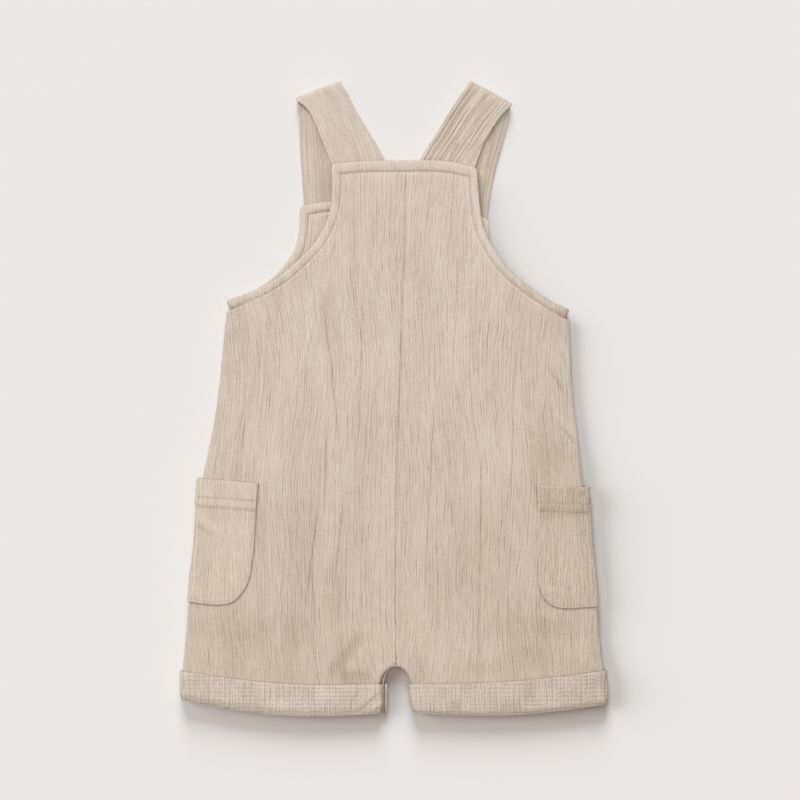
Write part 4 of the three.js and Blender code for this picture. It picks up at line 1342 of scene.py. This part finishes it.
panel_cotton = crinkled_cotton("panel_cotton", thin=1.3)
band_cotton = crinkled_cotton("band_cotton", depth=0.85, thin=0.5)
pocket_cotton = {
    "left": crinkled_cotton("pocket_left_cotton", length=14.0, thin=0.4, tint=1.07),
    "right": crinkled_cotton("pocket_right_cotton", depth=1.2, length=14.0, thin=0.8, tint=1.02),
}
strap_tints = {"low_shade_tint": NO_TINT, "far_shade": 0.0}
strap_cotton = {
    "left": crinkled_cotton("strap_left_cotton", 0.7, 50.0, 0.6, **strap_tints),
    "right": crinkled_cotton("strap_right_cotton", 1.2, 60.0, 1.6, 1.05, **strap_tints),
}
cuff_cotton = gridded_wrong_side("cuff_cotton")
sewing_thread = thread_material("sewing_thread")

pieces = {}
for layer in ("back", "front"):
    for side in ("left", "right"):
        pieces[f"{layer}_{side}"] = make_panel(layer, side, panel_cotton)
        pieces[f"cuff_{layer}_{side}"] = make_cuff(layer, side, cuff_cotton)
    pieces[f"band_{layer}"] = make_band(layer, band_cotton)
for side in ("left", "right"):
    pieces[f"strap_{side}"] = make_strap(side, strap_cotton[side])
    pieces[f"pocket_{side}"] = make_pocket(side, pocket_cotton[side])

for node, piece in pieces.items():
    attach(piece, "root")
    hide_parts(node)

# Stitching: its rows, and the pitch and length of a stitch
stitch_rows = {
    "band_back": ([band_stitch_row("back")], BAND_STITCH, 1.5),
    "band_front": ([band_stitch_row("front")], BAND_STITCH, 1.5),
    "pocket_left": (pocket_stitch_rows("left"), POCKET_STITCH, 1.9),
    "pocket_right": (pocket_stitch_rows("right"), POCKET_STITCH, 1.9),
}
stitching = {}
for seed, (node, (rows, pitch, length)) in enumerate(stitch_rows.items(), 1):
    piece = make_stitches(f"stitching_{node}", rows, sewing_thread, pitch, length, seed)
    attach(piece, "root")
    stitching[node] = piece

# What each sheet was cut to: width, length and flat area in metres, what it lies on, and the band sewn to it
SHEETS = {
    "back_left": (0.166, 0.402, 0.0493, ["front_left"], ["band_back"]),
    "back_right": (0.158, 0.402, 0.0475, ["front_right"], []),
    "front_left": (0.167, 0.374, 0.0487, ["cuff_front_left"], ["band_front"]),
    "front_right": (0.158, 0.372, 0.0459, ["cuff_front_right"], []),
    "pocket_left": (0.098, 0.094, 0.0089, ["back_left"], []),
    "pocket_right": (0.092, 0.092, 0.0080, ["back_right"], []),
    "cuff_back_left": (0.156, 0.023, 0.0035, ["back_left"], []),
    "cuff_back_right": (0.156, 0.023, 0.0035, ["back_right"], []),
    "cuff_front_left": (0.156, 0.023, 0.0035, ["front_left"], []),
    "cuff_front_right": (0.156, 0.023, 0.0035, ["front_right"], []),
    "strap_left": (0.036, 0.195, 0.0067, ["front_left"], []),
    "strap_right": (0.036, 0.195, 0.0067, ["front_right"], []),
}
for node, (width, length, area, below, bands) in SHEETS.items():
    sewn_on = [pieces[band] for band in bands]
    sewn_on += [stitching[name] for name in bands + [node] if name in stitching]

# The stage: a plain pale surface, lit apart from the cloth
FLOOR_COLOUR = rgb(0.512, 0.492, 0.479)
FLOOR_HALF = 8.0
# The cloth's suns, one broad from the upper left, a soft one from above and a weak one from the right:
# compass angle counted from +X towards +Y, elevation, spread across, and irradiance on the floor
SUNS = {
    "key_light": (125, 42, 35, 1.32),
    "top_light": (0, 90, 60, 1.33),
    "side_fill": (-20, 30, 60, 0.28),
}
# The floor's own suns, two of them lower, because the photo's shadow is wider than its cloth is side-lit.
# Their colours add up to white, and leave the shadow brown, as light off the cloth makes it.
FLOOR_SUNS = {
    "floor_top_light": (0, 90, 60, 1.0, (1.217, 0.962, 0.822)),
    "floor_upper_light": (93, 21, 27, 1.9, (0.9, 1.02, 1.075)),
    "floor_left_light": (165, 17, 46, 1.77, (0.985, 1.0, 1.02)),
}
WORLD_COLOUR = rgb(1.0, 0.995, 0.985)
WORLD_STRENGTH = 0.126
LENS = 97.0
SENSOR = 36.0
PHOTO_WIDTH = 0.592
CAMERA_AIM = (0.00427, -0.0016, 0.006)


def floor_material():
    nodes = Nodes("floor")
    place = nodes.node("ShaderNodeNewGeometry").outputs["Position"]
    speck = nodes.node("ShaderNodeTexNoise", {"Vector": place, "Scale": 900.0, "Detail": 1.0}).outputs["Fac"]
    darker = tinted(FLOOR_COLOUR, (0.985, 0.985, 0.985))
    return nodes.finish(nodes.mix(speck, darker, FLOOR_COLOUR), speck, 0.002, 0.9, 0.0)


def add_floor():
    mesh = bpy.data.meshes.new("floor")
    corners = [(FLOOR_HALF * x, FLOOR_HALF * y, 0) for x, y in ((-1, -1), (1, -1), (1, 1), (-1, 1))]
    mesh.from_pydata(corners, [], [(0, 1, 2, 3)])
    mesh.materials.append(floor_material())
    floor = add_object("floor", mesh)
    return floor


def add_sun(name, azimuth, elevation, spread, irradiance, colour=(1, 1, 1)):
    light = bpy.data.lights.new(name, "SUN")
    azimuth, elevation = math.radians(azimuth), math.radians(elevation)
    light.color = colour
    light.energy = irradiance / math.sin(elevation)
    light.angle = math.radians(spread)
    across = math.cos(elevation)
    towards = Vector((across * math.cos(azimuth), across * math.sin(azimuth), math.sin(elevation)))
    sun = add_object(name, light)
    sun.rotation_euler = towards.to_track_quat("Z", "Y").to_euler()
    return sun


def add_camera():
    camera = bpy.data.cameras.new("camera")
    camera.lens = LENS
    camera.sensor_width = SENSOR
    holder = add_object("camera", camera)
    holder.location = Vector(CAMERA_AIM) + Vector((0, 0, PHOTO_WIDTH * LENS / SENSOR))
    bpy.context.scene.camera = holder


def light_world():
    world = bpy.data.worlds.new("world")
    world.use_nodes = True
    background = world.node_tree.nodes["Background"]
    background.inputs["Color"].default_value = WORLD_COLOUR
    background.inputs["Strength"].default_value = WORLD_STRENGTH
    bpy.context.scene.world = world


def collection_of(name, objects):
    collection = bpy.data.collections.new(name)
    for thing in objects:
        collection.objects.link(thing)
    return collection


floor_alone = collection_of("floor_alone", [add_floor()])
cloth_alone = collection_of("cloth_alone", list(pieces.values()) + list(stitching.values()))
for name, facts in SUNS.items():
    add_sun(name, *facts).light_linking.receiver_collection = cloth_alone
floor_suns = {name: add_sun(name, *facts) for name, facts in FLOOR_SUNS.items()}
for sun in floor_suns.values():
    sun.light_linking.receiver_collection = floor_alone
# The straps and bands cast no shadow to the right, because the photo shows none there
broad = [piece for node, piece in pieces.items() if not node.startswith(("strap", "band"))]
floor_suns["floor_left_light"].light_linking.blocker_collection = collection_of("shade_right", broad)
light_world()
add_camera()
bpy.context.scene.view_settings.view_transform = "Standard"
bpy.context.scene.view_settings.look = "None"
